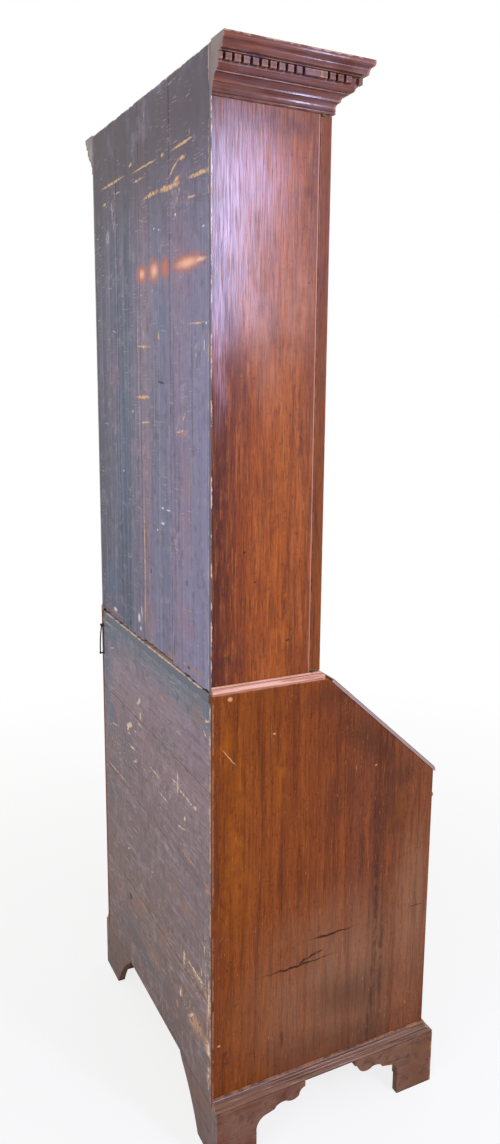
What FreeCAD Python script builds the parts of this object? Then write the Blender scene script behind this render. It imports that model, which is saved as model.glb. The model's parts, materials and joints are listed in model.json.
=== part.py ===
import FreeCAD, Part
import math
import os

# Bureau bookcase in solid mahogany with stained softwood backs.
# The front faces -Y, the origin is on the floor under the middle of the whole piece.
# Depths are measured forwards from the back plane, heights up from the floor.

# Overall sizes
total_height = 2150.0
bureau_width = 727.0
bureau_depth = 522.0
bureau_height = 1013.0
bookcase_side_setback = 8.5
bookcase_depth = 211.0
top_flat_depth = 250.0
slope_foot_height = 766.0
foot_height = 126.0

# Board thicknesses
side_thickness = 20.0
bureau_top_thickness = 18.0
bureau_bottom_thickness = 18.0
writing_board_thickness = 20.0
back_thickness = 12.0
back_rebate = 10.0
rail_thickness = 18.0
rail_depth = 60.0
runner_width = 42.0
dust_panel_thickness = 8.0
loper_partition_thickness = 16.0
case_side_thickness = 18.0
case_board_thickness = 16.0
case_back_thickness = 10.0
case_back_rebate = 9.0
shelf_thickness = 14.0
shelf_setback = 8.0
cleat_width = 12.0
cleat_height = 16.0

# Running gaps, and the overrun of every cut
rest_gap = 0.3
slide_gap = 0.4
reveal_gap = 0.8
overrun = 2.0

# Plinth moulding, waist moulding and cornice
plinth_height = 25.0
plinth_projection = 18.0
waist_height = 16.0
waist_projection = 8.5
cornice_height = 86.0
cornice_projection = 55.0
cornice_stand = 3.0
dentil_pitch = 16.4
dentil_gap = 5.0
dentil_height = 11.5
dentil_base = 46.5
dentil_bed_projection = 31.0
dentil_projection = 38.5
first_dentil = 10.0
plain_dentil_start = 9
plain_dentil_count = 3

# Bracket feet
bracket_length = 208.0
foot_block = 45.0
rear_bracket_foot = 100.0
rear_bracket_length = 205.0

# Fall, its hinges and the lopers that carry it
fall_thickness = 20.0
fall_lip_thickness = 7.7
fall_lip_overhang = 2.0
fall_lip_nose = 5.5
fall_lip_drop = 4.0
fall_top_margin = 1.0
hinge_leaf_length = 25.0
hinge_leaf_thickness = 1.5
hinge_length = 54.0
hinge_barrel_radius = 3.0
hinge_pin_radius = 1.2
hinge_inset = 120.0
pin_clearance = 0.05
loper_thickness = 20.0
loper_height = 75.0
loper_rear_gap = 30.0
loper_knob_radius = 6.5
loper_knob_reach = 25.0

# Drawers: heights of the three long ones from the bottom up
long_drawer_shares = (0.36, 0.335, 0.305)
drawer_front_thickness = 20.0
drawer_side_thickness = 10.0
drawer_bottom_thickness = 7.0
drawer_bottom_lift = 6.0
drawer_rear_gap = 48.0
drawer_top_ease = 5.0
cockbead_width = 3.0
cockbead_projection = 2.0
tail_length = 13.0
tail_width = 22.0
tail_flare = 2.5
tail_pitch = 32.0
knob_radius = 15.0
knob_reach = 27.0
knob_place_share = 0.29
knob_sides = 10

# Fittings behind the fall
gallery_setback = 10.0
gallery_board = 6.0
small_drawer_share = 0.19
small_drawer_wall = 6.0
small_front_thickness = 9.0
small_knob_radius = 6.0
small_knob_reach = 12.0
prospect_width = 112.0
prospect_height_share = 0.52
prospect_thickness = 12.0
prospect_field_depth = 2.0
prospect_border_share = 0.165
prospect_pin_radius = 1.5
prospect_pin_length = 4.0
pigeonhole_count = 3
valance_height = 26.0
valance_thickness = 5.0
valance_margin = 7.0
valance_nib = 5.0
valance_setback = 3.0

# Bookcase doors
door_thickness = 23.0
door_gap = 0.6
meeting_gap = 1.2
stile_width = 52.0
top_rail_width = 58.0
bottom_rail_width = 72.0
panel_groove = 8.0
panel_tongue = 6.0
panel_field_rise = 6.0
panel_bevel = 26.0
panel_back_setback = 6.0
door_bead = 3.0
pivot_plate_thickness = 1.8
pivot_plate_length = 42.0
pivot_plate_width = 12.0
pivot_eye_radius = 3.2
pivot_pin_radius = 1.2
pivot_setback = 4.0

# Brass escutcheons
escutcheon_width = 22.0
escutcheon_height = 34.0
escutcheon_thickness = 1.2
escutcheon_chamfer = 6.5
keyhole_radius = 2.2
keyhole_drop = 8.0
keyhole_slot = 2.0
escutcheon_margin = 24.0

# Drop pull on the back of the bureau
pull_inset = 13.5
pull_head_drop = 34.0
pull_height = 81.0
pull_plate_width = 8.0
pull_plate_thickness = 1.5
pull_ear_thickness = 1.7
pull_pin_stand = 5.0
pull_pin_radius = 1.3
pull_eye_radius = 3.0
pull_eye_width = 4.2
pull_strap_thickness = 2.5
pull_bow = 1.6
pull_foot_radius = 2.7
pull_foot_stand = 9.0
pull_stud_radius = 2.2

# Back boards: joints as shares of the height below and of the width above, and how
# far each upper plank stops short
bureau_back_joint_shares = (0.0, 0.26, 0.55, 0.79, 1.0)
case_back_joint_shares = (0.0, 0.28, 0.54, 0.76, 1.0)
plank_shortfall_shares = (0.35, 1.0, 0.45, 0.65)
plank_shortfall = 9.0
plank_joint = 0.4
shelf_place_shares = (0.26, 0.51, 0.75)

# Outlines. Each row is a share of the projection or length, a share of the
# height, and the bulge of the edge to the next row as a share of its length.
cornice_profile_shares = (
    (0.0, 0.0, 0.0), (0.045, 0.0, -0.3), (0.06, 0.06, 0.0), (0.085, 0.075, 0.16),
    (0.17, 0.24, 0.0), (0.2, 0.24, 0.0), (0.2, 0.27, 0.12), (0.36, 0.375, 0.0),
    (0.4, 0.375, 0.0), (0.4, 0.4, -0.2), (0.53, 0.46, 0.0), (0.555, 0.5, 0.0),
    (0.5636, 0.5, 0.0), (0.5636, 0.5407, 0.0), (0.5636, 0.69, 0.0), (0.7, 0.69, 0.0),
    (0.7, 0.72, 0.0), (0.84, 0.72, 0.0), (0.86, 0.8, 0.0), (0.87, 0.81, 0.14),
    (0.92, 0.86, -0.14), (1.0, 0.925, 0.0), (1.0, 1.0, 0.0), (0.0, 1.0, 0.0),
)
plinth_profile_shares = (
    (0.0, 0.0, 0.0), (0.9, 0.0, -0.3), (0.9, 0.26, 0.0), (0.76, 0.3, 0.0),
    (0.74, 0.36, 0.22), (0.48, 0.56, -0.22), (0.22, 0.76, 0.0), (0.17, 0.8, -0.4),
    (0.17, 0.96, 0.0), (0.0, 1.0, 0.0),
)
waist_profile_shares = (
    (0.0, 0.0, 0.0), (1.0, 0.0, 0.0), (1.0, 0.16, -0.32), (0.42, 0.72, 0.0),
    (0.3, 0.74, -0.3), (0.12, 1.0, 0.0), (0.0, 1.0, 0.0),
)
bracket_shares = (
    (0.0, 0.0, 0.0), (0.447, 0.0, 0.0), (0.447, 0.38, 0.17), (0.53, 0.64, 0.0),
    (0.65, 0.685, 0.0), (0.66, 0.72, 0.12), (0.78, 0.76, -0.14), (0.91, 0.75, 0.0),
    (0.93, 0.77, 0.2), (1.0, 0.9, 0.0), (1.0, 1.0, 0.0), (0.0, 1.0, 0.0),
)
rear_bracket_shares = (
    (0.0, 0.0, 0.0), (0.0, 1.0, 0.0), (1.0, 1.0, 0.0), (0.93, 0.88, -0.06),
)

# Rings of a turned knob from the wood outwards: share of its radius, share of its reach
knob_shares = ((0.8, 0.0), (0.42, 0.2), (0.5, 0.5), (1.0, 0.74), (0.6, 1.0))

# Places worked out from the sizes above
half_width = bureau_width / 2
inner_half = half_width - side_thickness
case_half = half_width - bookcase_side_setback
case_inner_half = case_half - case_side_thickness
back_y = (bureau_depth + cockbead_projection + knob_reach - pull_foot_stand - pull_foot_radius) / 2
plinth_top = foot_height + plinth_height
slope_angle = math.atan2(bureau_height - slope_foot_height, bureau_depth - top_flat_depth)
fall_rebate = fall_thickness - fall_lip_thickness - rest_gap
writing_height = slope_foot_height - fall_rebate / math.cos(slope_angle)
writing_underside = writing_height - writing_board_thickness
top_rail_top = writing_underside - loper_height
top_underside = bureau_height - bureau_top_thickness
waist_top = bureau_height + waist_height
cornice_foot = total_height - cornice_height
case_top = total_height - cornice_stand
door_back_depth = bookcase_depth + door_gap
door_face_depth = door_back_depth + door_thickness
door_foot = waist_top + pivot_plate_thickness + slide_gap
door_head = cornice_foot - pivot_plate_thickness - slide_gap
partition_face = inner_half - loper_thickness - 2 * slide_gap
top_drawer_half = partition_face - loper_partition_thickness
gallery_front = top_flat_depth - gallery_setback
loper_length = bureau_depth - back_thickness - loper_rear_gap
drawer_length = bureau_depth - back_thickness - drawer_rear_gap
pull_place = half_width - pull_inset
pull_top = bureau_height - pull_head_drop


def at(x, depth, z):
    """A point from its place across, its depth from the back plane and its height."""
    return FreeCAD.Vector(x, back_y - depth, z)


def block(x0, x1, depth0, depth1, z0, z1):
    return Part.makeBox(x1 - x0, depth1 - depth0, z1 - z0, at(x0, depth1, z0))


def outline(rows, place):
    """A closed face through rows of (u, v, bulge); a bulge bends the edge to the next row."""
    edges = []
    for index, (u0, v0, bulge) in enumerate(rows):
        u1, v1 = rows[(index + 1) % len(rows)][:2]
        if bulge:
            middle_u = (u0 + u1) / 2 - bulge * (v1 - v0)
            middle_v = (v0 + v1) / 2 + bulge * (u1 - u0)
            arc = Part.Arc(place(u0, v0), place(middle_u, middle_v), place(u1, v1))
            edges.append(arc.toShape())
        else:
            edges.append(Part.makeLine(place(u0, v0), place(u1, v1)))
    return Part.Face(Part.Wire(edges))


def scaled(shares, length, height):
    return [(u * length, v * height, bulge) for u, v, bulge in shares]


def plain(points):
    return [(u, v, 0.0) for u, v in points]


def side_prism(rows, x0, x1):
    """An outline of (depth, height) rows, extruded across from x0 to x1."""
    face = outline(rows, lambda depth, z: at(x0, depth, z))
    return face.extrude(FreeCAD.Vector(x1 - x0, 0, 0))


def plan_prism(points, z0, z1):
    """An outline of (x, depth) points, extruded up from z0 to z1."""
    face = outline(plain(points), lambda x, depth: at(x, depth, z0))
    return face.extrude(FreeCAD.Vector(0, 0, z1 - z0))


def front_prism(rows, depth0, depth1):
    """An outline of (x, height) rows, extruded forwards from depth0 to depth1."""
    face = outline(rows, lambda x, z: at(x, depth0, z))
    return face.extrude(FreeCAD.Vector(0, depth0 - depth1, 0))


def across_cylinder(radius, x0, x1, depth, z):
    return Part.makeCylinder(radius, x1 - x0, at(x0, depth, z), FreeCAD.Vector(1, 0, 0))


def upright_cylinder(radius, x, depth, z0, z1):
    return Part.makeCylinder(radius, z1 - z0, at(x, depth, z0), FreeCAD.Vector(0, 0, 1))


def mirrored(shape):
    return shape.mirror(FreeCAD.Vector(0, 0, 0), FreeCAD.Vector(1, 0, 0))


def group(shapes):
    return Part.makeCompound(shapes)


def save(name, shape):
    shape.exportStep("parts/" + name + ".step")


def save_pair(name, right_shape):
    save(name + "_right", right_shape)
    save(name + "_left", mirrored(right_shape))


# Mouldings that return along both sides and are cut off flush with the back

def mitred_runs(shares, projection, height, half, front_depth, z0):
    """Front, right and left lengths of a moulding, mitred at the front corners."""
    rows = scaled(shares, projection, height)
    front_face = outline(rows, lambda p, h: at(-half - projection, front_depth + p, z0 + h))
    front = front_face.extrude(FreeCAD.Vector(2 * (half + projection), 0, 0))
    front_plan = [(-half, front_depth), (half, front_depth),
                  (half + projection, front_depth + projection),
                  (-half - projection, front_depth + projection)]
    front = front.common(plan_prism(front_plan, z0 - overrun, z0 + height + overrun))
    side_face = outline(rows, lambda p, h: at(half + p, 0, z0 + h))
    side = side_face.extrude(FreeCAD.Vector(0, -front_depth - projection, 0))
    side_plan = [(half, 0), (half + projection, 0),
                 (half + projection, front_depth + projection), (half, front_depth)]
    side = side.common(plan_prism(side_plan, z0 - overrun, z0 + height + overrun))
    return [front.Solids[0], side.Solids[0], mirrored(side.Solids[0])]


def plinth_moulding():
    return group(mitred_runs(plinth_profile_shares, plinth_projection, plinth_height,
                             half_width, bureau_depth, foot_height))


def waist_moulding():
    runs = mitred_runs(waist_profile_shares, waist_projection, waist_height,
                       case_half, door_face_depth, bureau_height)
    ground = block(-case_half, case_half, bookcase_depth, door_face_depth, bureau_height, waist_top)
    return group(runs + [ground])


def cornice_moulding():
    return group(mitred_runs(cornice_profile_shares, cornice_projection, cornice_height,
                             case_half, door_face_depth, cornice_foot))


def cornice_ground():
    return block(-case_half, case_half, bookcase_depth, door_face_depth, cornice_foot, case_top)


def side_dentils(plain_stretch):
    """Dentils along the right side; a plain stretch closes the gaps between some of them."""
    z0 = cornice_foot + dentil_base
    z1 = z0 + dentil_height
    x0 = case_half + dentil_bed_projection
    x1 = case_half + dentil_projection
    stop = door_face_depth + dentil_bed_projection - dentil_gap
    dentils = [block(x0, x1, 0, first_dentil - dentil_gap, z0, z1)]
    count = int((stop - first_dentil + dentil_gap) / dentil_pitch)
    for index in range(count):
        start = first_dentil + index * dentil_pitch
        width = dentil_pitch - dentil_gap
        if plain_stretch and plain_dentil_start <= index < plain_dentil_start + plain_dentil_count - 1:
            width = dentil_pitch
        dentils.append(block(x0, x1, start, start + width, z0, z1))
    return dentils


def front_dentils():
    z0 = cornice_foot + dentil_base
    reach = case_half + dentil_projection
    count = round((2 * reach + dentil_gap) / dentil_pitch)
    pitch = (2 * reach + dentil_gap) / count
    depth0 = door_face_depth + dentil_bed_projection
    depth1 = door_face_depth + dentil_projection
    dentils = []
    for index in range(count):
        x0 = index * pitch - reach
        dentils.append(block(x0, x0 + pitch - dentil_gap, depth0, depth1, z0, z0 + dentil_height))
    return dentils


def cornice_dentils():
    left = [mirrored(dentil) for dentil in side_dentils(True)]
    return group(side_dentils(False) + left + front_dentils())


# Bracket feet under the plinth moulding

def front_foot():
    """Side and front facings of the right front foot, mitred at the corner."""
    rows = scaled(bracket_shares, bracket_length, foot_height)
    corner_x = half_width + plinth_projection
    corner_depth = bureau_depth + plinth_projection
    side_rows = [(corner_depth - u, v, -bulge) for u, v, bulge in rows]
    side = side_prism(side_rows, half_width, corner_x)
    side_plan = [(half_width, 0), (corner_x, 0), (corner_x, corner_depth), (half_width, bureau_depth)]
    side = side.common(plan_prism(side_plan, -overrun, foot_height + overrun))
    front_rows = [(corner_x - u, v, -bulge) for u, v, bulge in rows]
    front = front_prism(front_rows, bureau_depth, corner_depth)
    front_plan = [(0, bureau_depth), (half_width, bureau_depth), (corner_x, corner_depth), (0, corner_depth)]
    front = front.common(plan_prism(front_plan, -overrun, foot_height + overrun))
    return group([side.Solids[0], front.Solids[0]])


def rear_foot():
    """Shaped side facing and plain back bracket of the right rear foot."""
    rows = scaled(bracket_shares, bracket_length, foot_height)
    side = side_prism(rows, half_width, half_width + plinth_projection)
    reach = rear_bracket_length - plinth_projection
    foot = rear_bracket_foot - plinth_projection
    back_rows = [(half_width - u * reach, v * foot_height, -bulge) for u, v, bulge in rear_bracket_shares]
    back_rows.append((half_width - foot, 0, 0.0))
    back = front_prism(back_rows, 0, plinth_projection)
    return group([side, back])


def foot_blocks():
    """Glued corner blocks behind the facings, one in each foot."""
    rear = block(half_width - foot_block, half_width, plinth_projection,
                 plinth_projection + foot_block, 0, foot_height)
    front = block(half_width - foot_block, half_width, bureau_depth - foot_block,
                  bureau_depth, 0, foot_height)
    return group([rear, front, mirrored(rear), mirrored(front)])


# Bureau carcase

def bureau_side():
    """Right side with its sloping front corner and the rebate for the back boards."""
    rows = plain([(0, foot_height), (bureau_depth, foot_height), (bureau_depth, slope_foot_height),
                  (top_flat_depth, bureau_height), (0, bureau_height)])
    side = side_prism(rows, inner_half, half_width)
    rebate = block(inner_half - overrun, inner_half + back_rebate, -overrun, back_thickness,
                   foot_height - overrun, top_underside)
    return side.cut(rebate)


def bureau_top():
    """Top board between the sides, its front edge bevelled along the slope."""
    run = bureau_top_thickness / math.tan(slope_angle)
    rows = plain([(0, top_underside), (top_flat_depth + run, top_underside),
                  (top_flat_depth, bureau_height), (0, bureau_height)])
    return side_prism(rows, -inner_half, inner_half)


def bureau_bottom():
    return block(-inner_half, inner_half, back_thickness, bureau_depth,
                 plinth_top - bureau_bottom_thickness, plinth_top)


def back_planks(half, joint_shares, thickness, feet, head):
    """Upright planks, each with its own foot."""
    planks = []
    for index, foot in enumerate(feet):
        x0 = (2 * joint_shares[index] - 1) * half
        x1 = (2 * joint_shares[index + 1] - 1) * half
        joint = plank_joint if index else 0.0
        planks.append(block(x0 + joint, x1, 0, thickness, foot, head))
    return group(planks)


def bureau_back_boards():
    """Level boards, from the foot of the case up to the underside of its top."""
    half = inner_half + back_rebate
    rise = top_underside - foot_height
    boards = []
    for low, high in zip(bureau_back_joint_shares, bureau_back_joint_shares[1:]):
        joint = plank_joint if low else 0.0
        boards.append(block(-half, half, 0, back_thickness,
                            foot_height + low * rise + joint, foot_height + high * rise))
    return group(boards)


def long_drawer_floors():
    """Height of the opening's floor and its clear height, for each long drawer."""
    clear = top_rail_top - rail_thickness - plinth_top
    clear -= rail_thickness * (len(long_drawer_shares) - 1)
    floors = []
    floor = plinth_top
    for share in long_drawer_shares:
        floors.append((floor, clear * share))
        floor += clear * share + rail_thickness
    return floors


def drawer_divider(top):
    """Front rail, two runners and the dust panel between them."""
    z0 = top - rail_thickness
    rail_back = bureau_depth - rail_depth
    rail = block(-inner_half, inner_half, rail_back, bureau_depth, z0, top)
    runner = block(inner_half - runner_width, inner_half, back_thickness, rail_back, z0, top)
    panel_foot = z0 + (rail_thickness - dust_panel_thickness) / 2
    panel = block(runner_width - inner_half, inner_half - runner_width, back_thickness, rail_back,
                  panel_foot, panel_foot + dust_panel_thickness)
    return [rail, runner, mirrored(runner), panel]


def drawer_dividers():
    solids = []
    for floor, height in long_drawer_floors():
        solids += drawer_divider(floor + height + rail_thickness)
    return group(solids)


def loper_partitions():
    board = block(top_drawer_half, partition_face, back_thickness, bureau_depth,
                  top_rail_top, writing_underside)
    return group([board, mirrored(board)])


# Fall front and its hinges. s runs up the slope from the hinge axis, h stands off its inner face.

def fall_at(x, s, h):
    depth = bureau_depth - s * math.cos(slope_angle) + h * math.sin(slope_angle)
    return at(x, depth, writing_height + s * math.sin(slope_angle) + h * math.cos(slope_angle))


def fall_prism(points, x0, x1):
    face = outline(plain(points), lambda s, h: fall_at(x0, s, h))
    return face.extrude(FreeCAD.Vector(x1 - x0, 0, 0))


def fall_foot(h, proud):
    """Where the lower edge lies so that the closed fall ends in an upright face."""
    return (h * math.sin(slope_angle) - proud) / math.cos(slope_angle)


def stand_off(point):
    """How far a point stands off the plane of the fall's inner face."""
    forwards = back_y - point.y - bureau_depth
    return forwards * math.sin(slope_angle) + (point.z - writing_height) * math.cos(slope_angle)


def slope_distance(z, h):
    return (z - writing_height - h * math.cos(slope_angle)) / math.sin(slope_angle)


fall_body_end = slope_distance(top_underside - reveal_gap, fall_rebate)
fall_lip_end = slope_distance(bureau_height - fall_top_margin, fall_thickness)
lip_half = half_width + fall_lip_overhang


def hinge_places():
    return [hinge_inset - inner_half, inner_half - hinge_inset - hinge_length]


def fall_hinge_relief(x0):
    return across_cylinder(hinge_barrel_radius + slide_gap, x0 - slide_gap,
                           x0 + hinge_length + slide_gap, bureau_depth, writing_height)


def fall_leaf_recess(x0):
    points = [(-overrun, -overrun), (hinge_leaf_length, -overrun),
              (hinge_leaf_length, hinge_leaf_thickness), (-overrun, hinge_leaf_thickness)]
    return fall_prism(points, x0, x0 + hinge_length)


def fall_board():
    """Fall with a lipped edge that laps the sides and the top, rounded to a thumbnail."""
    lip_base = fall_thickness - fall_lip_thickness
    body = fall_prism([(0, 0), (fall_body_end, 0), (fall_body_end, lip_base),
                       (fall_foot(lip_base, 0), lip_base)],
                      reveal_gap - inner_half, inner_half - reveal_gap)
    lip = fall_prism([(fall_foot(lip_base, fall_lip_drop), lip_base), (fall_lip_end, lip_base),
                      (fall_lip_end, fall_thickness),
                      (fall_foot(fall_thickness, fall_lip_drop), fall_thickness)], -lip_half, lip_half)
    outer_face = max(lip.Faces, key=lambda face: stand_off(face.CenterOfMass))
    lip = lip.makeFillet(fall_lip_nose, outer_face.Edges)
    board = body.fuse(lip).removeSplitter()
    for x0 in hinge_places():
        board = board.cut(fall_hinge_relief(x0))
        board = board.cut(fall_leaf_recess(x0))
    return board.Solids[0]


def writing_board():
    board = block(-inner_half, inner_half, back_thickness, bureau_depth,
                  writing_underside, writing_height)
    for x0 in hinge_places():
        board = board.cut(fall_hinge_relief(x0))
        recess = block(x0, x0 + hinge_length, bureau_depth - hinge_leaf_length,
                       bureau_depth + overrun, writing_height - hinge_leaf_thickness,
                       writing_height + overrun)
        board = board.cut(recess)
    return board.Solids[0]


def knuckle_ends(x0):
    """The three knuckles of a hinge as pairs of ends, with a running gap between them."""
    knuckle = hinge_length / 3
    return [(x0, x0 + knuckle), (x0 + knuckle + slide_gap, x0 + 2 * knuckle - slide_gap),
            (x0 + 2 * knuckle, x0 + hinge_length)]


def fixed_fall_hinge(x0):
    """Leaf in the writing board, the two outer knuckles and the pin."""
    ends = knuckle_ends(x0)
    clear = hinge_barrel_radius + slide_gap
    leaf = block(x0, x0 + hinge_length, bureau_depth - hinge_leaf_length, bureau_depth - clear,
                 writing_height - hinge_leaf_thickness, writing_height)
    hinge = leaf.fuse(across_cylinder(hinge_pin_radius, x0, x0 + hinge_length, bureau_depth, writing_height))
    for x_start, x_end in (ends[0], ends[2]):
        barrel = across_cylinder(hinge_barrel_radius, x_start, x_end, bureau_depth, writing_height)
        web = block(x_start, x_end, bureau_depth - clear, bureau_depth,
                    writing_height - hinge_leaf_thickness, writing_height)
        hinge = hinge.fuse(barrel).fuse(web)
    return hinge.removeSplitter()


def moving_fall_hinge(x0):
    """Leaf in the fall with the middle knuckle."""
    x_start, x_end = knuckle_ends(x0)[1]
    clear = hinge_barrel_radius + slide_gap
    leaf = fall_prism([(clear, 0), (hinge_leaf_length, 0), (hinge_leaf_length, hinge_leaf_thickness),
                       (clear, hinge_leaf_thickness)], x0, x0 + hinge_length)
    web = fall_prism([(0, 0), (clear, 0), (clear, hinge_leaf_thickness), (0, hinge_leaf_thickness)],
                     x_start, x_end)
    barrel = across_cylinder(hinge_barrel_radius, x_start, x_end, bureau_depth, writing_height)
    bore = across_cylinder(hinge_pin_radius + pin_clearance, x_start - overrun, x_end + overrun,
                           bureau_depth, writing_height)
    return leaf.fuse(web).fuse(barrel).removeSplitter().cut(bore)


def loper():
    """Right loper, flush with the case front when pushed in."""
    return block(inner_half - slide_gap - loper_thickness, inner_half - slide_gap,
                 bureau_depth - loper_length, bureau_depth,
                 top_rail_top + rest_gap, writing_underside - rest_gap)


# Turned brass knobs and cut brass plates

def ring(x, depth, z, radius):
    """Corners of a regular polygon that faces forwards."""
    angles = [2 * math.pi * (index + 0.5) / knob_sides for index in range(knob_sides)]
    return [at(x + radius * math.cos(angle), depth, z + radius * math.sin(angle)) for angle in angles]


def flat_face(corners):
    return Part.Face(Part.makePolygon(corners + corners[:1]))


def knob(x, depth, z, radius, reach):
    """A turned knob in flat facets: flared rose, neck and a head that comes to a low crown."""
    rings = [ring(x, depth + place * reach, z, share * radius) for share, place in knob_shares]
    faces = [flat_face(rings[0]), flat_face(rings[-1])]
    for low, high in zip(rings, rings[1:]):
        for index in range(knob_sides):
            faces.append(flat_face([low[index - 1], low[index], high[index], high[index - 1]]))
    return Part.makeSolid(Part.makeShell(faces))


def escutcheon(place):
    """An eight-sided plate with a keyhole; place turns (across, up, off the wood) into a point."""
    half = escutcheon_width / 2
    top = escutcheon_height / 2
    flat = half - escutcheon_chamfer
    straight = top - escutcheon_chamfer
    corners = [(half, -straight), (half, straight), (flat, top), (-flat, top), (-half, straight),
               (-half, -straight), (-flat, -top), (flat, -top)]
    reach = place(0, 0, escutcheon_thickness) - place(0, 0, 0)
    plate = outline(plain(corners), lambda u, v: place(u, v, 0)).extrude(reach)
    crown = keyhole_radius / 2
    foot = keyhole_slot / 2
    keyhole = plain([(keyhole_radius, 0), (crown, keyhole_radius), (-crown, keyhole_radius),
                     (-keyhole_radius, 0), (-foot, -keyhole_drop), (foot, -keyhole_drop)])
    pierce = place(0, 0, escutcheon_thickness + overrun) - place(0, 0, -overrun)
    return plate.cut(outline(keyhole, lambda u, v: place(u, v, -overrun)).extrude(pierce)).Solids[0]


# Drawers with dovetailed sides

def tails(x0, x1, joint_depth, z0, z1):
    """Dovetails that run forwards from joint_depth across the side's thickness."""
    count = max(1, int((z1 - z0) / tail_pitch))
    pitch = (z1 - z0) / count
    shapes = []
    for index in range(count):
        middle = z0 + (index + 0.5) * pitch
        root = tail_width / 2 - tail_flare
        tip = tail_width / 2
        rows = plain([(joint_depth - overrun, middle - root), (joint_depth, middle - root),
                      (joint_depth + tail_length, middle - tip), (joint_depth + tail_length, middle + tip),
                      (joint_depth, middle + root), (joint_depth - overrun, middle + root)])
        shapes.append(side_prism(rows, x0, x1))
    return shapes


def drawer_box(half, floor, height):
    """Two dovetailed sides, the back and the bottom board."""
    z0 = floor + rest_gap
    z1 = floor + height - drawer_top_ease
    joint = bureau_depth - drawer_front_thickness
    rear = bureau_depth - drawer_length
    outer = half - reveal_gap
    inner = outer - drawer_side_thickness
    side = block(inner, outer, rear, joint, z0, z1)
    for tail in tails(inner, outer, joint, z0, z1):
        side = side.fuse(tail)
    side = side.removeSplitter()
    bottom_top = z0 + drawer_bottom_lift + drawer_bottom_thickness
    back = block(-inner, inner, rear, rear + drawer_side_thickness, bottom_top, z1 - drawer_top_ease)
    bottom = block(-inner, inner, rear, joint, z0 + drawer_bottom_lift, bottom_top)
    return [side.Solids[0], mirrored(side.Solids[0]), back, bottom]


def drawer_front(half, floor, height, box):
    """Front with a cockbead round its edge and sockets for the tails."""
    outer = half - reveal_gap
    z0 = floor + rest_gap
    z1 = floor + height - reveal_gap
    joint = bureau_depth - drawer_front_thickness
    board = block(-outer, outer, joint, bureau_depth, z0, z1)
    bead = block(-outer, outer, bureau_depth - cockbead_projection,
                 bureau_depth + cockbead_projection, z0, z1)
    field = block(cockbead_width - outer, outer - cockbead_width, bureau_depth - 2 * cockbead_projection,
                  bureau_depth + 2 * cockbead_projection, z0 + cockbead_width, z1 - cockbead_width)
    front = board.fuse(bead.cut(field)).removeSplitter()
    for side in box[:2]:
        front = front.cut(side)
    return front.Solids[0]


def drawer_brasses(half, floor, height):
    """Two knobs and the keyhole plate."""
    z = floor + height / 2
    x = knob_place_share * 2 * half
    right = knob(x, bureau_depth, z, knob_radius, knob_reach + cockbead_projection)
    plate = escutcheon(lambda u, v, w: at(u, bureau_depth + w, z + v))
    return group([right, mirrored(right), plate])


def save_drawer(number, half, floor, height):
    box = drawer_box(half, floor, height)
    name = "drawer_%d" % number
    save(name + "_front", drawer_front(half, floor, height, box))
    save(name + "_box", group(box))
    save(name + "_brasses", drawer_brasses(half, floor, height))


# Pigeonholes, small drawers and the cupboard behind the fall

gallery_foot = writing_height
gallery_head = top_underside
bay_inner = prospect_width / 2 + gallery_board
bay_outer = inner_half - gallery_board
small_drawer_floor = gallery_foot + gallery_board
gallery_clear = gallery_head - gallery_board - small_drawer_floor
small_drawer_height = small_drawer_share * gallery_clear
pigeonhole_floor = small_drawer_floor + small_drawer_height + gallery_board
prospect_head = small_drawer_floor + prospect_height_share * gallery_clear


def upright(x0, z0, z1):
    return block(x0, x0 + gallery_board, back_thickness, gallery_front, z0, z1)


def pigeonhole_places():
    """Left and right walls of each pigeonhole on the right-hand side."""
    clear = (bay_outer - bay_inner - gallery_board * (pigeonhole_count - 1)) / pigeonhole_count
    starts = [bay_inner + index * (clear + gallery_board) for index in range(pigeonhole_count)]
    return [(start, start + clear) for start in starts]


def pigeonhole_case():
    z0 = gallery_foot + gallery_board
    z1 = gallery_head - gallery_board
    floor = block(-inner_half, inner_half, back_thickness, gallery_front, gallery_foot, z0)
    roof = block(-inner_half, inner_half, back_thickness, gallery_front, z1, gallery_head)
    cupboard_roof = block(-prospect_width / 2, prospect_width / 2, back_thickness, gallery_front,
                          prospect_head, prospect_head + gallery_board)
    right = [upright(prospect_width / 2, z0, z1), upright(bay_outer, z0, z1),
             block(bay_inner, bay_outer, back_thickness, gallery_front,
                   pigeonhole_floor - gallery_board, pigeonhole_floor)]
    for start, end in pigeonhole_places()[:-1]:
        right.append(upright(end, pigeonhole_floor, z1))
    hole = prospect_pin(prospect_pin_radius + pin_clearance, overrun)
    shapes = [floor, roof, cupboard_roof] + right + [mirrored(shape) for shape in right]
    return group([shape.cut(hole).Solids[0] for shape in shapes])


def valance(x0, x1):
    """An arched head across the top of one pigeonhole, with a nib at each end."""
    z1 = gallery_head - gallery_board
    z0 = z1 - valance_height
    left = x0 + valance_margin
    right = x1 - valance_margin
    spring = z0 + valance_nib
    rise = (valance_height - valance_nib - valance_margin) / (right - left)
    rows = [(x0, z1, 0.0), (x0, z0, 0.0), (left, z0, 0.0), (left, spring, rise),
            (right, spring, 0.0), (right, z0, 0.0), (x1, z0, 0.0), (x1, z1, 0.0)]
    front = gallery_front - valance_setback
    return front_prism(rows, front - valance_thickness, front)


def pigeonhole_valances():
    heads = [valance(-prospect_width / 2, prospect_width / 2)]
    for start, end in pigeonhole_places():
        heads.append(valance(start, end))
        heads.append(valance(-end, -start))
    return group(heads)


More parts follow.
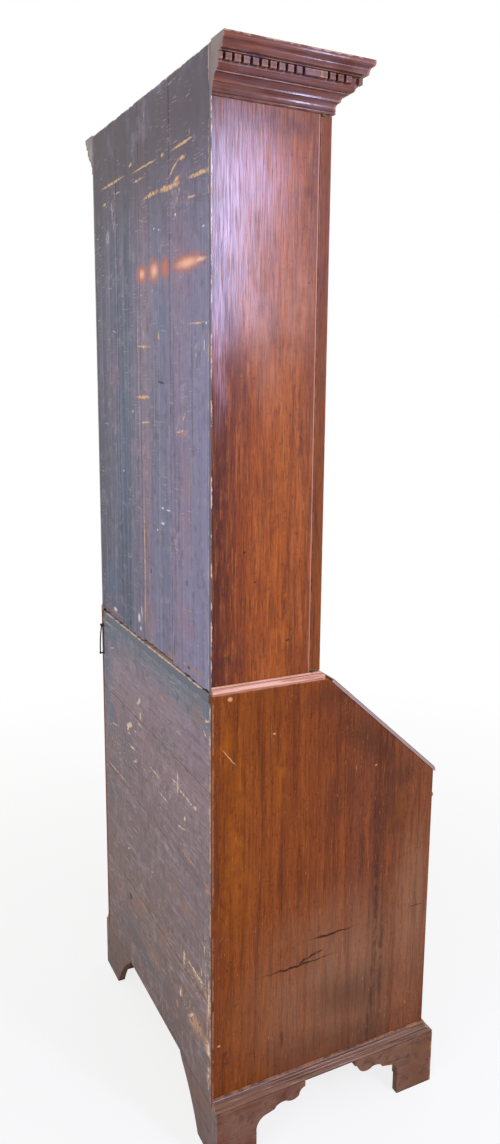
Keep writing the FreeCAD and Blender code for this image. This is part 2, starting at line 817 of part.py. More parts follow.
def small_drawer():
    """Right small drawer: front, two sides, back, bottom and its knob."""
    x0 = bay_inner + reveal_gap
    x1 = bay_outer - reveal_gap
    z0 = small_drawer_floor + rest_gap
    z1 = small_drawer_floor + small_drawer_height - reveal_gap
    joint = gallery_front - small_front_thickness
    rear = back_thickness + small_front_thickness
    wall = small_drawer_wall
    bottom_top = z0 + wall
    front = block(x0, x1, joint, gallery_front, z0, z1)
    left = block(x0, x0 + wall, rear, joint, z0, z1)
    right = block(x1 - wall, x1, rear, joint, z0, z1)
    back = block(x0 + wall, x1 - wall, rear, rear + wall, bottom_top, z1)
    bottom = block(x0 + wall, x1 - wall, rear, joint, z0, bottom_top)
    pull = knob((x0 + x1) / 2, gallery_front, (z0 + z1) / 2, small_knob_radius, small_knob_reach)
    return group([front, left, right, back, bottom, pull])


prospect_axis_x = (prospect_thickness - prospect_width) / 2 + slide_gap
prospect_axis_depth = gallery_front - prospect_thickness / 2


def prospect_pin(radius, extra):
    """Pins above and below the cupboard door, as one solid cut or as two pins."""
    below = upright_cylinder(radius, prospect_axis_x, prospect_axis_depth,
                             small_drawer_floor - prospect_pin_length - extra, small_drawer_floor + rest_gap)
    above = upright_cylinder(radius, prospect_axis_x, prospect_axis_depth,
                             prospect_head - rest_gap, prospect_head + prospect_pin_length + extra)
    return group([below, above])


def prospect_door():
    """Cupboard door with a sunk field, its hinge edge rounded about the pins."""
    half_thick = prospect_thickness / 2
    x1 = prospect_width / 2 - reveal_gap
    z0 = small_drawer_floor + rest_gap
    z1 = prospect_head - rest_gap
    border = prospect_border_share * (z1 - z0)
    front = gallery_front
    door = block(prospect_axis_x, x1, front - prospect_thickness, front, z0, z1)
    door = door.fuse(upright_cylinder(half_thick, prospect_axis_x, prospect_axis_depth, z0, z1))
    field = block(prospect_axis_x + border, x1 - border, front - prospect_field_depth,
                  front + overrun, z0 + border, z1 - border)
    door = door.cut(field).removeSplitter()
    pins = prospect_pin(prospect_pin_radius, 0)
    door = door.fuse(pins.Solids[0]).fuse(pins.Solids[1]).removeSplitter()
    pull = knob(x1 - border / 2, front, (z0 + z1) / 2, small_knob_radius, small_knob_reach)
    return group([door.Solids[0], pull])


# Bookcase carcase

def bookcase_side():
    """Right side of the bookcase, rebated for the back."""
    side = block(case_inner_half, case_half, 0, bookcase_depth, bureau_height, case_top)
    rebate = block(case_inner_half - overrun, case_inner_half + case_back_rebate, -overrun,
                   case_back_thickness, bureau_height - overrun, case_top + overrun)
    return side.cut(rebate)


def bookcase_board(z0):
    return block(-case_inner_half, case_inner_half, case_back_thickness, bookcase_depth,
                 z0, z0 + case_board_thickness)


def bookcase_back_boards():
    feet = [bureau_height + share * plank_shortfall for share in plank_shortfall_shares]
    return back_planks(case_inner_half + case_back_rebate, case_back_joint_shares,
                       case_back_thickness, feet, case_top)


def shelf_heights():
    """Underside of each shelf."""
    low = bureau_height + case_board_thickness
    high = case_top - case_board_thickness
    return [low + share * (high - low) for share in shelf_place_shares]


def bookcase_shelves():
    return group([block(-case_inner_half, case_inner_half, case_back_thickness,
                        bookcase_depth - shelf_setback, z, z + shelf_thickness)
                  for z in shelf_heights()])


def shelf_cleats():
    cleats = []
    for z in shelf_heights():
        cleat = block(case_inner_half - cleat_width, case_inner_half, case_back_thickness,
                      bookcase_depth - 2 * shelf_setback, z - cleat_height, z)
        cleats += [cleat, mirrored(cleat)]
    return group(cleats)


# Bookcase doors, hung on pins at their outer corners

pivot_depth = door_back_depth + pivot_setback
door_inner_edge = meeting_gap / 2


def pivot_plate(z0):
    """A right-hand plate from z0 up: a strip along the door with a nose round the pin axis."""
    x0 = case_half - pivot_plate_length
    nose = case_half + pivot_eye_radius
    corner = pivot_eye_radius * math.tan(math.pi / 8)
    depth0 = pivot_depth - pivot_eye_radius
    depth1 = pivot_depth + pivot_eye_radius
    points = [(x0, depth0), (case_half + corner, depth0), (nose, pivot_depth - corner),
              (nose, pivot_depth + corner), (case_half + corner, depth1), (case_half, depth1),
              (case_half, depth0 + pivot_plate_width), (x0, depth0 + pivot_plate_width)]
    return plan_prism(points, z0, z0 + pivot_plate_thickness)


def door_pivot_plates():
    """The right door's plates, let into its top and bottom edges and bored for the pins."""
    bore = upright_cylinder(pivot_pin_radius + pin_clearance, case_half, pivot_depth,
                            door_foot - overrun, door_head + overrun)
    lower = pivot_plate(door_foot)
    upper = pivot_plate(door_head - pivot_plate_thickness)
    return group([lower.cut(bore).Solids[0], upper.cut(bore).Solids[0]])


def fixed_pivot_plates():
    """Plates on the waist moulding and under the cornice, with the pins the doors turn on."""
    lower = pivot_plate(waist_top)
    lower = lower.fuse(upright_cylinder(pivot_pin_radius, case_half, pivot_depth, waist_top,
                                        door_foot + pivot_plate_thickness - rest_gap))
    upper = pivot_plate(cornice_foot - pivot_plate_thickness)
    upper = upper.fuse(upright_cylinder(pivot_pin_radius, case_half, pivot_depth,
                                        door_head - pivot_plate_thickness + rest_gap, cornice_foot))
    pair = [lower.removeSplitter().Solids[0], upper.removeSplitter().Solids[0]]
    return group(pair + [mirrored(plate) for plate in pair])


def door_frame():
    """Two stiles and two rails, grooved for the panel, with a bead along the meeting edge."""
    recess0 = pivot_plate(door_foot)
    recess1 = pivot_plate(door_head - pivot_plate_thickness)
    inner = door_inner_edge
    rail0 = inner + stile_width
    rail1 = case_half - stile_width
    bays = [block(inner, rail0, door_back_depth, door_face_depth, door_foot, door_head),
            block(rail1, case_half, door_back_depth, door_face_depth, door_foot, door_head),
            block(rail0, rail1, door_back_depth, door_face_depth, door_foot,
                  door_foot + bottom_rail_width),
            block(rail0, rail1, door_back_depth, door_face_depth, door_head - top_rail_width, door_head)]
    bead = block(inner - overrun, inner + door_bead, door_face_depth - door_bead,
                 door_face_depth + overrun, door_foot - overrun, door_head + overrun)
    round_edge = upright_cylinder(door_bead, inner + door_bead, door_face_depth - door_bead,
                                  door_foot - overrun, door_head + overrun)
    bays[0] = bays[0].cut(bead.cut(round_edge))
    tongue = door_panel_tongue()
    bays = [bay.cut(tongue) for bay in bays]
    bays[1] = bays[1].cut(recess0).cut(recess1)
    return group([bay.Solids[0] for bay in bays])


def door_panel_opening():
    """Sight size of the panel: left, right, foot and head."""
    return (door_inner_edge + stile_width, case_half - stile_width,
            door_foot + bottom_rail_width, door_head - top_rail_width)


def door_panel_tongue():
    x0, x1, z0, z1 = door_panel_opening()
    depth0 = door_back_depth + panel_back_setback
    return block(x0 - panel_groove, x1 + panel_groove, depth0, depth0 + panel_tongue,
                 z0 - panel_groove, z1 + panel_groove)


def rectangle_wire(x0, x1, z0, z1, depth):
    corners = [at(x0, depth, z0), at(x1, depth, z0), at(x1, depth, z1), at(x0, depth, z1)]
    return Part.makePolygon(corners + corners[:1])


def door_panel():
    """A raised and fielded panel with bevelled borders."""
    x0, x1, z0, z1 = door_panel_opening()
    depth0 = door_back_depth + panel_back_setback + panel_tongue
    depth1 = depth0 + panel_field_rise
    base = rectangle_wire(x0, x1, z0, z1, depth0)
    field = rectangle_wire(x0 + panel_bevel, x1 - panel_bevel, z0 + panel_bevel, z1 - panel_bevel, depth1)
    raised = Part.makeLoft([base, field], True, True)
    return door_panel_tongue().fuse(raised).removeSplitter().Solids[0]


def door_escutcheon():
    """Keyhole plate on the right door's meeting stile."""
    x = door_inner_edge + stile_width / 2
    z = (door_foot + door_head) / 2
    return escutcheon(lambda u, v, w: at(x + u, door_face_depth + w, z + v))


def fall_escutcheon():
    """Keyhole plate near the fall's upper edge."""
    s = fall_lip_end - escutcheon_margin - escutcheon_height / 2
    return escutcheon(lambda u, v, w: fall_at(u, s + v, fall_thickness + w))


# Drop pull on the back boards

pull_pin_height = pull_top - pull_eye_radius - pull_ear_thickness
pull_stop_height = pull_top - pull_height + pull_foot_radius


def rear_pull_plate():
    """Narrow plate with two ears and their pin at the top and a stop stud at the foot."""
    half = pull_plate_width / 2
    plate = block(pull_place - half, pull_place + half, -pull_plate_thickness, 0,
                  pull_top - pull_height, pull_top)
    ear_half = pull_eye_width / 2 + rest_gap
    reach = ear_half + pull_ear_thickness
    ear_height = pull_eye_radius - rest_gap
    for x0 in (pull_place - reach, pull_place + ear_half):
        ear = block(x0, x0 + pull_ear_thickness, -pull_pin_stand - ear_height, 0,
                    pull_pin_height - ear_height, pull_pin_height + ear_height)
        plate = plate.fuse(ear)
    pin = across_cylinder(pull_pin_radius, pull_place - reach, pull_place + reach,
                          -pull_pin_stand, pull_pin_height)
    stud_end = pull_foot_stand - pull_foot_radius - rest_gap
    stud = Part.makeCylinder(pull_stud_radius, stud_end, at(pull_place, 0, pull_stop_height),
                             FreeCAD.Vector(0, 1, 0))
    return plate.fuse(pin).fuse(stud).removeSplitter()


def rear_pull_drop():
    """Bowed strap that hangs from the pin by its eye and ends in a small roll."""
    x0 = pull_place - pull_eye_width / 2
    x1 = pull_place + pull_eye_width / 2
    half_thick = pull_strap_thickness / 2
    head = pull_pin_height - (pull_pin_radius + pull_eye_radius) / 2
    bulge = pull_bow / (head - pull_stop_height)
    strap = side_prism([(-pull_pin_stand - half_thick, head, -bulge),
                        (-pull_foot_stand - half_thick, pull_stop_height, 0.0),
                        (-pull_foot_stand + half_thick, pull_stop_height, bulge),
                        (-pull_pin_stand + half_thick, head, 0.0)], x0, x1)
    eye = across_cylinder(pull_eye_radius, x0, x1, -pull_pin_stand, pull_pin_height)
    roll = across_cylinder(pull_foot_radius, x0, x1, -pull_foot_stand, pull_stop_height)
    bore = across_cylinder(pull_pin_radius + pin_clearance, x0 - overrun, x1 + overrun,
                           -pull_pin_stand, pull_pin_height)
    return strap.fuse(eye).fuse(roll).removeSplitter().cut(bore)


def save_bureau():
    save_pair("bureau_side", bureau_side())
    save("bureau_top", bureau_top())
    save("bureau_bottom", bureau_bottom())
    save("bureau_back_boards", bureau_back_boards())
    save("drawer_dividers", drawer_dividers())
    save("loper_partitions", loper_partitions())
    save("writing_board", writing_board())
    save("plinth_moulding", plinth_moulding())
    save_pair("front_foot", front_foot())
    save_pair("rear_foot", rear_foot())
    save("foot_blocks", foot_blocks())
    save("rear_pull_plate", rear_pull_plate())
    save("rear_pull_drop", rear_pull_drop())


def save_fall_and_lopers():
    save("fall_board", fall_board())
    save("fall_hinge_leaves", group([moving_fall_hinge(x0) for x0 in hinge_places()]))
    save("fall_hinge_plates", group([fixed_fall_hinge(x0) for x0 in hinge_places()]))
    save("fall_escutcheon", fall_escutcheon())
    save_pair("loper", loper())
    loper_middle = inner_half - slide_gap - loper_thickness / 2
    save_pair("loper_knob", knob(loper_middle, bureau_depth, top_rail_top + loper_height / 2,
                                 loper_knob_radius, loper_knob_reach))


def save_drawers():
    floors = long_drawer_floors()
    for index, (floor, height) in enumerate(reversed(floors)):
        save_drawer(index + 2, inner_half, floor, height)
    save_drawer(1, top_drawer_half, top_rail_top, loper_height)


def save_gallery():
    save("pigeonhole_case", pigeonhole_case())
    save("pigeonhole_valances", pigeonhole_valances())
    save_pair("small_drawer", small_drawer())
    save("prospect_door", prospect_door())


def save_bookcase():
    save_pair("bookcase_side", bookcase_side())
    save("bookcase_bottom", bookcase_board(bureau_height))
    save("bookcase_top", bookcase_board(case_top - case_board_thickness))
    save("bookcase_back_boards", bookcase_back_boards())
    save("bookcase_shelves", bookcase_shelves())
    save("shelf_cleats", shelf_cleats())
    save("waist_moulding", waist_moulding())
    save("cornice_moulding", cornice_moulding())
    save("cornice_ground", cornice_ground())
    save("cornice_dentils", cornice_dentils())
    save("door_pivot_plates", fixed_pivot_plates())
    save_pair("door_frame", door_frame())
    save_pair("door_panel", door_panel())
    save_pair("door_pivots", door_pivot_plates())
    save("door_escutcheon", door_escutcheon())


os.makedirs("parts", exist_ok=True)
save_bureau()
save_fall_and_lopers()
save_drawers()
save_gallery()
save_bookcase()
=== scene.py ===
import json
import math

import bmesh
import bpy
from mathutils import Matrix, Vector, noise

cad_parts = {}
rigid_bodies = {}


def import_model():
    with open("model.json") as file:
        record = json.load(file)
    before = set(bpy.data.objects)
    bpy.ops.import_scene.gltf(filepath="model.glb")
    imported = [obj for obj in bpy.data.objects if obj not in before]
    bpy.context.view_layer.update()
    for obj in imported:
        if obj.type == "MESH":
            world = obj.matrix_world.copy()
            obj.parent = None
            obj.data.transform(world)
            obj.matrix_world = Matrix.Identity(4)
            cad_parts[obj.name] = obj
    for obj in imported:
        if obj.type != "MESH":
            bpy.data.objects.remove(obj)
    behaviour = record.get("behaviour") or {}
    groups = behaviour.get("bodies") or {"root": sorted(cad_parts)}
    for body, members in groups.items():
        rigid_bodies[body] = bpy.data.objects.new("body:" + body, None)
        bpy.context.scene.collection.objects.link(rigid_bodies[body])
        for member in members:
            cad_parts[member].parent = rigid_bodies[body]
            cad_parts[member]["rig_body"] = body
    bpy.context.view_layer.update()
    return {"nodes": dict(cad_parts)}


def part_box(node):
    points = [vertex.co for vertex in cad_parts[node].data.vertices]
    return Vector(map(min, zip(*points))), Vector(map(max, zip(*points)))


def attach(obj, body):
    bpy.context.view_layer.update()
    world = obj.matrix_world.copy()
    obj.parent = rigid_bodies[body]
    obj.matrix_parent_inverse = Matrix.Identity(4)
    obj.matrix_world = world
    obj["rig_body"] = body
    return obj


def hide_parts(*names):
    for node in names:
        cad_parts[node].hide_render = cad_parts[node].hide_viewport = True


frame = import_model()

bl_info = {
    "name": "Bureau bookcase",
    "version": (1, 0, 0),
    "blender": (4, 5, 0),
    "location": "3D View > Sidebar > Bureau",
    "description": "Dresses a mahogany bureau bookcase: polished sides, worn mouldings, stained pine backs",
    "category": "Object",
}

# Places read from the frame, in metres

back_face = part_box("bureau_back_boards")[1].y
case_low, case_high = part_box("bookcase_side_left")
desk_low, desk_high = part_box("bureau_side_left")
upper_back_low, upper_back_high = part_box("bookcase_back_boards")
lower_back_low, lower_back_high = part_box("bureau_back_boards")
waist_low, waist_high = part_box("waist_moulding")
top_board_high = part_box("bureau_top")[1]
cornice_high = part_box("cornice_moulding")[1]
fall_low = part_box("fall_board")[0]
panel_low, panel_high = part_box("door_panel_left")
blade_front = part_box("drawer_dividers")[0].y

# The photograph's viewpoint, in metres and degrees, and its frame in pixels

eye = Vector((-1.860, back_face + 0.635, 1.601))
eye_yaw = -27.973
eye_pitch = -10.524
eye_roll = 0.925
focal_px = 908.7
centre_px = (290.5, 547.5)
frame_px = (500, 1144)
film_width = 36.0


def linear(code):
    """An sRGB hex colour as linear light with full alpha."""
    values = [int(code[place:place + 2], 16) / 255 for place in (1, 3, 5)]
    return [v / 12.92 if v <= 0.04045 else ((v + 0.055) / 1.055) ** 2.4 for v in values] + [1.0]


def colour_property(name, description, code):
    return bpy.props.FloatVectorProperty(name=name, description=description, subtype="COLOR", size=4,
                                         min=0.0, max=1.0, default=linear(code))


def length_property(name, description, default):
    return bpy.props.FloatProperty(name=name, description=description, default=default, unit="LENGTH")


class BureauSizes(bpy.types.PropertyGroup):
    """Sizes of wear and of turned work."""
    arris: length_property("Arris", "How far the polished edges are rubbed round", 0.0011)
    fine_arris: length_property("Moulding arris", "How far the mouldings are rubbed round", 0.0007)
    rough_arris: length_property("Rough arris", "How far the edges of the back boards are worn", 0.0022)
    metal_arris: length_property("Metal arris", "Rounding of brass and iron edges", 0.0004)
    end_wear: length_property("End wear", "Most that the ends of the back boards have splintered away", 0.006)
    pore_width: length_property("Pore width", "Width of a mahogany pore as drawn", 0.0016)


class BureauColours(bpy.types.PropertyGroup):
    """Colours of timber, stain and metal."""
    mahogany: colour_property("Mahogany", "Middle tone of the polished mahogany", "#7c3f1c")
    mahogany_dark: colour_property("Dark mahogany", "Dark figure and old polish", "#552413")
    mahogany_light: colour_property("Light mahogany", "Orange brown of the light ribbons", "#95501f")
    stain: colour_property("Back stain", "Dull stain on the pine backs", "#625f69")
    scar: colour_property("Bare pine", "Pale wood where the stain is scratched away", "#e0b482")
    brass: colour_property("Brass", "Aged brass of knobs, hinges and keyhole plates", "#a8894e")


def sizes():
    return bpy.context.scene.bureau_sizes


def colours():
    return bpy.context.scene.bureau_colours


# Materials

MIX_FACTOR, MIX_UNDER, MIX_OVER, MIX_RESULT = 0, 6, 7, 2
VECTOR_UNDER, VECTOR_OVER, VECTOR_RESULT = 4, 5, 1
FULL_CIRCLE = 2 * math.pi
mm = 0.001
mark_depth = 0.012
torn_margin = 0.012
wax_roughness = 0.18


class Board:
    """A flat face that marks are drawn on, seen square on with its height upright.

    corner is its lower left corner, normal the axis it faces, and across the axis and
    sign of left to right.
    """

    def __init__(self, corner, normal, across, sign):
        self.corner = corner
        self.normal = normal
        self.across = across
        self.sign = sign

    def place(self, across, up):
        """The point that lies so many millimetres across and up."""
        point = self.corner.copy()
        point[self.across] += self.sign * across * mm
        point.z += up * mm
        return point

    def spread(self, length, width, depth):
        """Half sizes along the axes of a mark that runs across the board."""
        size = [length * mm / 2, length * mm / 2, width * mm / 2]
        size[self.normal] = depth
        return size

    def tilt(self, degrees):
        turn = [0.0, 0.0, 0.0]
        turn[self.normal] = math.radians(degrees) * (1 if self.normal == 1 else -1)
        return turn


class Finish:
    """A material laid up in layers, from the ground colour to the last scratch."""

    def __init__(self, name, ground, roughness, specular=0.5, coat=0.0, metallic=0.0):
        self.material = bpy.data.materials.new(name)
        self.material.use_nodes = True
        self.tree = self.material.node_tree
        self.shader = self.tree.nodes["Principled BSDF"]
        self.shader.inputs["Roughness"].default_value = roughness
        self.shader.inputs["Specular IOR Level"].default_value = specular
        self.shader.inputs["Metallic"].default_value = metallic
        self.shader.inputs["Coat Weight"].default_value = coat
        self.shader.inputs["Coat Roughness"].default_value = wax_roughness
        self.place = self.add("ShaderNodeTexCoord").outputs["Object"]
        self.grain = self.place
        self.colour = ground
        self.roughness = roughness
        self.coat = coat
        self.normal = None
        self.reach = None

    def add(self, kind, inputs=None, **settings):
        """Adds a node, with its settings and with its inputs set or linked."""
        made = self.tree.nodes.new(kind)
        for name, value in settings.items():
            setattr(made, name, value)
        for key, value in (inputs or {}).items():
            if isinstance(value, bpy.types.NodeSocket):
                self.tree.links.new(value, made.inputs[key])
            else:
                made.inputs[key].default_value = value
        return made

    def run_grain(self, axis, mask=None):
        """Turns the grain along an axis, everywhere or only where the mask is 1."""
        parts = self.add("ShaderNodeSeparateXYZ", {0: self.place}).outputs
        order = [(axis + 1) % 3, (axis + 2) % 3, axis]
        turned = self.add("ShaderNodeCombineXYZ", {i: parts[k] for i, k in enumerate(order)}).outputs[0]
        if mask is None:
            self.grain = turned
            return
        mixed = self.add("ShaderNodeMix", {MIX_FACTOR: mask, VECTOR_UNDER: self.grain, VECTOR_OVER: turned},
                         data_type="VECTOR")
        self.grain = mixed.outputs[VECTOR_RESULT]

    def lay(self, colour, mask):
        """Lays a colour, or the one that a hex code names, over what is there, as strong as the mask."""
        over = linear(colour) if isinstance(colour, str) else colour
        mixed = self.add("ShaderNodeMix", {MIX_FACTOR: mask, MIX_UNDER: self.colour, MIX_OVER: over},
                         data_type="RGBA")
        self.colour = mixed.outputs[MIX_RESULT]

    def dull(self, roughness, mask):
        """Makes the surface duller or glossier where the mask is."""
        mixed = self.add("ShaderNodeMix", {0: mask, 2: self.roughness, 3: roughness}, data_type="FLOAT")
        self.roughness = mixed.outputs[0]

    def wax(self, coat, mask):
        """Makes the coat of wax thicker or thinner where the mask is."""
        mixed = self.add("ShaderNodeMix", {0: mask, 2: self.coat, 3: coat}, data_type="FLOAT")
        self.coat = mixed.outputs[0]

    def relief(self, mask, depth):
        """Raises the surface by the mask, or sinks it where depth is negative."""
        inputs = {"Height": mask, "Distance": abs(depth), "Strength": 1.0}
        if self.normal:
            inputs["Normal"] = self.normal
        bump = self.add("ShaderNodeBump", inputs, invert=depth < 0)
        self.normal = bump.outputs[0]

    def field(self, size, low, high, most=1.0, detail=3.0, shift=0.0, source=None):
        """Noise as a mask, drawn out to a size in millimetres along each axis."""
        stretched = self.add("ShaderNodeMapping", {"Vector": source or self.place,
                                                   "Scale": [1 / (length * mm) for length in size],
                                                   "Location": (shift, 2 * shift, 3 * shift)})
        noise_field = self.add("ShaderNodeTexNoise", {"Vector": stretched.outputs[0], "Scale": 1.0,
                                                      "Detail": detail, "Roughness": 0.6})
        return self.between(noise_field.outputs[0], low, high, most)

    def streaks(self, across, along, low, high, most=1.0, detail=3.0, shift=0.0):
        """Noise drawn out along the grain."""
        return self.field((across, across, along), low, high, most, detail, shift, self.grain)

    def clouds(self, size, low, high, most=1.0, detail=3.0, shift=0.0):
        """Noise of one size every way."""
        return self.field((size, size, size), low, high, most, detail, shift)

    def scuffs(self, axis, length, width, low, high, most=1.0, shift=0.0):
        """Short strokes along an axis, whichever way the grain runs."""
        size = [width, width, width]
        size[axis] = length
        return self.field(size, low, high, most, 2.0, shift)

    def between(self, value, low, high, most=1.0):
        """Turns a value into a soft mask that rises from low to high."""
        shaped = self.add("ShaderNodeMapRange", {"Value": value, "From Min": low, "From Max": high,
                                                 "To Max": most}, interpolation_type="SMOOTHSTEP")
        return shaped.outputs[0]

    def stretch_of(self, axis, start, end, most=1.0):
        """A mask that rises along an axis from one place to another, in metres."""
        parts = self.add("ShaderNodeSeparateXYZ", {0: self.place}).outputs
        return self.between(parts[axis], start, end, most)

    def tones(self, axis, start, end, rows, sway):
        """Lays tones side by side from one place to another; each row is a share of the way and a colour.

        Their edges sway by so many millimetres and follow the grain.
        """
        parts = self.add("ShaderNodeSeparateXYZ", {0: self.place}).outputs
        wander = self.streaks(45, 700, 0.3, 0.7, sway * mm, shift=21)
        moved = self.add("ShaderNodeMath", {0: parts[axis], 1: wander}, operation="ADD").outputs[0]
        share = self.add("ShaderNodeMapRange", {"Value": moved, "From Min": start, "From Max": end})
        ramp = self.add("ShaderNodeValToRGB", {0: share.outputs[0]})
        ramp.color_ramp.interpolation = "EASE"
        stops = ramp.color_ramp.elements
        while len(stops) < len(rows):
            stops.new(1.0)
        for stop, (place, code) in zip(stops, rows):
            stop.position = place
            stop.color = linear(code)
        return ramp.outputs[0]

    def rise(self, level, heights, most=1.0):
        """A mask that comes in between two heights above a level, in millimetres."""
        start, end = heights
        return self.stretch_of(2, level + start * mm, level + end * mm, most)

    def at_back(self, depths, most=1.0):
        """A mask that comes in towards the back face, between two depths below it in millimetres."""
        start, end = depths
        return self.stretch_of(1, back_face - start * mm, back_face - end * mm, most)

    def frayed(self, axis, edge, width, most, whole=0.5):
        """A torn and broken line of wear along an edge, so many millimetres wide; width is signed inwards."""
        parts = self.add("ShaderNodeSeparateXYZ", {0: self.ragged(11, 2.5 * abs(width))}).outputs
        line = self.between(parts[axis], edge + width * mm, edge + width * mm / 2, most)
        return self.both(line, self.clouds(55, whole - 0.06, whole + 0.03, detail=6.0, shift=axis + 5))

    def both(self, first, second):
        return self.add("ShaderNodeMath", {0: first, 1: second}, operation="MULTIPLY").outputs[0]

    def front_run(self):
        """1 on faces that look forwards or back, 0 on those that look sideways."""
        parts = self.facing()
        return self.add("ShaderNodeMath", {0: parts[1], 1: parts[0]}, operation="GREATER_THAN").outputs[0]

    def facing(self):
        """How squarely a face looks along each axis, from 0 to 1."""
        normal = self.add("ShaderNodeNewGeometry").outputs["True Normal"]
        size = self.add("ShaderNodeVectorMath", {0: normal}, operation="ABSOLUTE").outputs[0]
        return self.add("ShaderNodeSeparateXYZ", {0: size}).outputs

    def rubbed(self, reach, low, high, most=1.0):
        """A mask along outer edges, where hands and dusters have worn the finish."""
        inside = self.add("ShaderNodeAmbientOcclusion", {"Distance": reach * mm}, inside=True,
                          only_local=True, samples=6)
        return self.between(inside.outputs["AO"], high, low, most)

    def grime_and_shade(self, reach, low, high, most=1.0):
        """A mask in hollows and inner corners, where old polish and grime gather; it also serves as painted
        shade there.
        """
        open_air = self.add("ShaderNodeAmbientOcclusion", {"Distance": reach * mm}, samples=6)
        return self.between(open_air.outputs["AO"], high, low, most)

    def ragged(self, size, reach):
        """Places nudged by noise, so that what is drawn on them has a torn edge."""
        scale = 1 / (size * mm)
        field = self.add("ShaderNodeTexNoise", {"Vector": self.place, "Scale": scale, "Detail": 3.0})
        shift = self.add("ShaderNodeVectorMath", {0: field.outputs["Color"], 1: (0.5, 0.5, 0.5)},
                         operation="SUBTRACT")
        return self.add("ShaderNodeVectorMath", {0: shift.outputs[0], 1: (reach * mm,) * 3, 2: self.place},
                        operation="MULTIPLY_ADD").outputs[0]

    def within_reach(self, board, rows):
        """The marks that touch the part of the board that this finish covers."""
        if self.reach is None:
            return rows
        low, high = self.reach
        touching = []
        for row in rows:
            centre = board.place(*row[:2])
            spread = max(row[2:4]) * mm / 2 + torn_margin
            if all(low[k] - spread < centre[k] < high[k] + spread for k in (board.across, 2)):
                touching.append(row)
        return touching

    def mark(self, colour, board, rows, softness=0.3, most=1.0, torn=(6.0, 5.0), broken=None):
        """Lays a colour in long marks on a board, each a row of across, up, length, width and tilt.

        torn is the size and reach of their ragged edges, broken the size and limits of the gaps in them.
        """
        rows = self.within_reach(board, rows)
        if not rows:
            return
        mask = self.marks(board, rows, softness, most, torn)
        if broken:
            mask = self.both(mask, self.clouds(*broken))
        self.lay(colour, mask)

    def marks(self, board, rows, softness, most, torn):
        """The mask of such marks."""
        places = self.ragged(*torn)
        nearest = None
        for across, up, length, width, tilt in rows:
            framed = self.add("ShaderNodeMapping", {
                "Vector": places, "Location": board.place(across, up), "Rotation": board.tilt(tilt),
                "Scale": board.spread(length, width, mark_depth)}, vector_type="TEXTURE")
            reach = self.add("ShaderNodeVectorMath", {0: framed.outputs[0]}, operation="LENGTH").outputs[1]
            if nearest:
                reach = self.add("ShaderNodeMath", {0: nearest, 1: reach}, operation="MINIMUM").outputs[0]
            nearest = reach
        return self.between(nearest, 1.0, 1.0 - softness, most)

    def done(self):
        """Joins the layers to the shader and gives the material."""
        for name, value in (("Base Color", self.colour), ("Roughness", self.roughness),
                            ("Coat Weight", self.coat), ("Normal", self.normal)):
            if isinstance(value, bpy.types.NodeSocket):
                self.tree.links.new(value, self.shader.inputs[name])
            elif value is not None:
                self.shader.inputs[name].default_value = value
        return self.material


upper_back = Board(Vector((-case_low.x, back_face, waist_high.z)), 1, 0, -1)
lower_back = Board(Vector((-desk_low.x, back_face, lower_back_low.z)), 1, 0, -1)
upper_side = Board(Vector((case_low.x, back_face, case_low.z)), 0, 1, -1)
lower_side = Board(Vector((desk_low.x, back_face, desk_low.z)), 0, 1, -1)

# Marks on the backs: across, up, length and width in millimetres, and tilt in degrees

upper_cream_scratches = (
    (152, 990, 215, 7, 0), (365, 986, 190, 5, 0), (577, 986, 140, 7, 1), (474, 987, 22, 8, 0),
    (330, 966, 90, 4, 0), (187, 964, 44, 4, 0), (90, 954, 30, 6, 0), (532, 952, 80, 7, 24),
    (575, 963, 50, 8, 3), (405, 926, 110, 10, 2), (512, 922, 130, 12, 0), (655, 921, 130, 10, -1),
    (350, 633, 110, 6, -2), (442, 649, 9, 40, 0), (648, 668, 130, 4, 0), (580, 497, 34, 6, 48),
    (355, 476, 80, 6, 3), (280, 1004, 26, 8, 0),
    (340, 190, 7, 250, 0), (338, 70, 6, 90, 0), (345, 529, 110, 9, 1), (620, 889, 50, 5, -4),
    (560, 468, 60, 5, 6), (476, 926, 40, 10, 4), (545, 930, 40, 12, 14),
)
upper_orange_scars = (
    (552, 922, 34, 17, 12), (613, 999, 9, 16, 0), (437, 925, 40, 8, 0), (590, 849, 11, 14, 0),
    (325, 528, 96, 9, 0), (345, 529, 50, 12, 0), (570, 462, 56, 8, 2), (585, 124, 70, 8, 0),
    (341, 200, 9, 200, 0), (335, 60, 13, 120, 0), (357, 746, 48, 6, 0),
    (625, 8, 150, 9, 0), (600, 888, 30, 3, 0), (500, 6, 130, 5, 0), (120, 4, 220, 5, 0),
)
upper_white_flecks = (
    (540, 869, 12, 7, 0), (677, 831, 13, 5, 0), (457, 306, 20, 6, 0), (490, 306, 28, 4, 0),
    (457, 274, 26, 7, 0), (425, 256, 8, 6, 0), (295, 34, 20, 26, 0), (314, 54, 8, 30, 10),
    (305, 12, 12, 14, 0), (115, 12, 36, 12, 0), (272, 496, 9, 9, 0), (200, 359, 12, 5, 0),
    (422, 859, 10, 4, 0), (448, 854, 10, 4, 0), (680, 628, 4, 26, 0), (690, 666, 8, 6, 0),
)
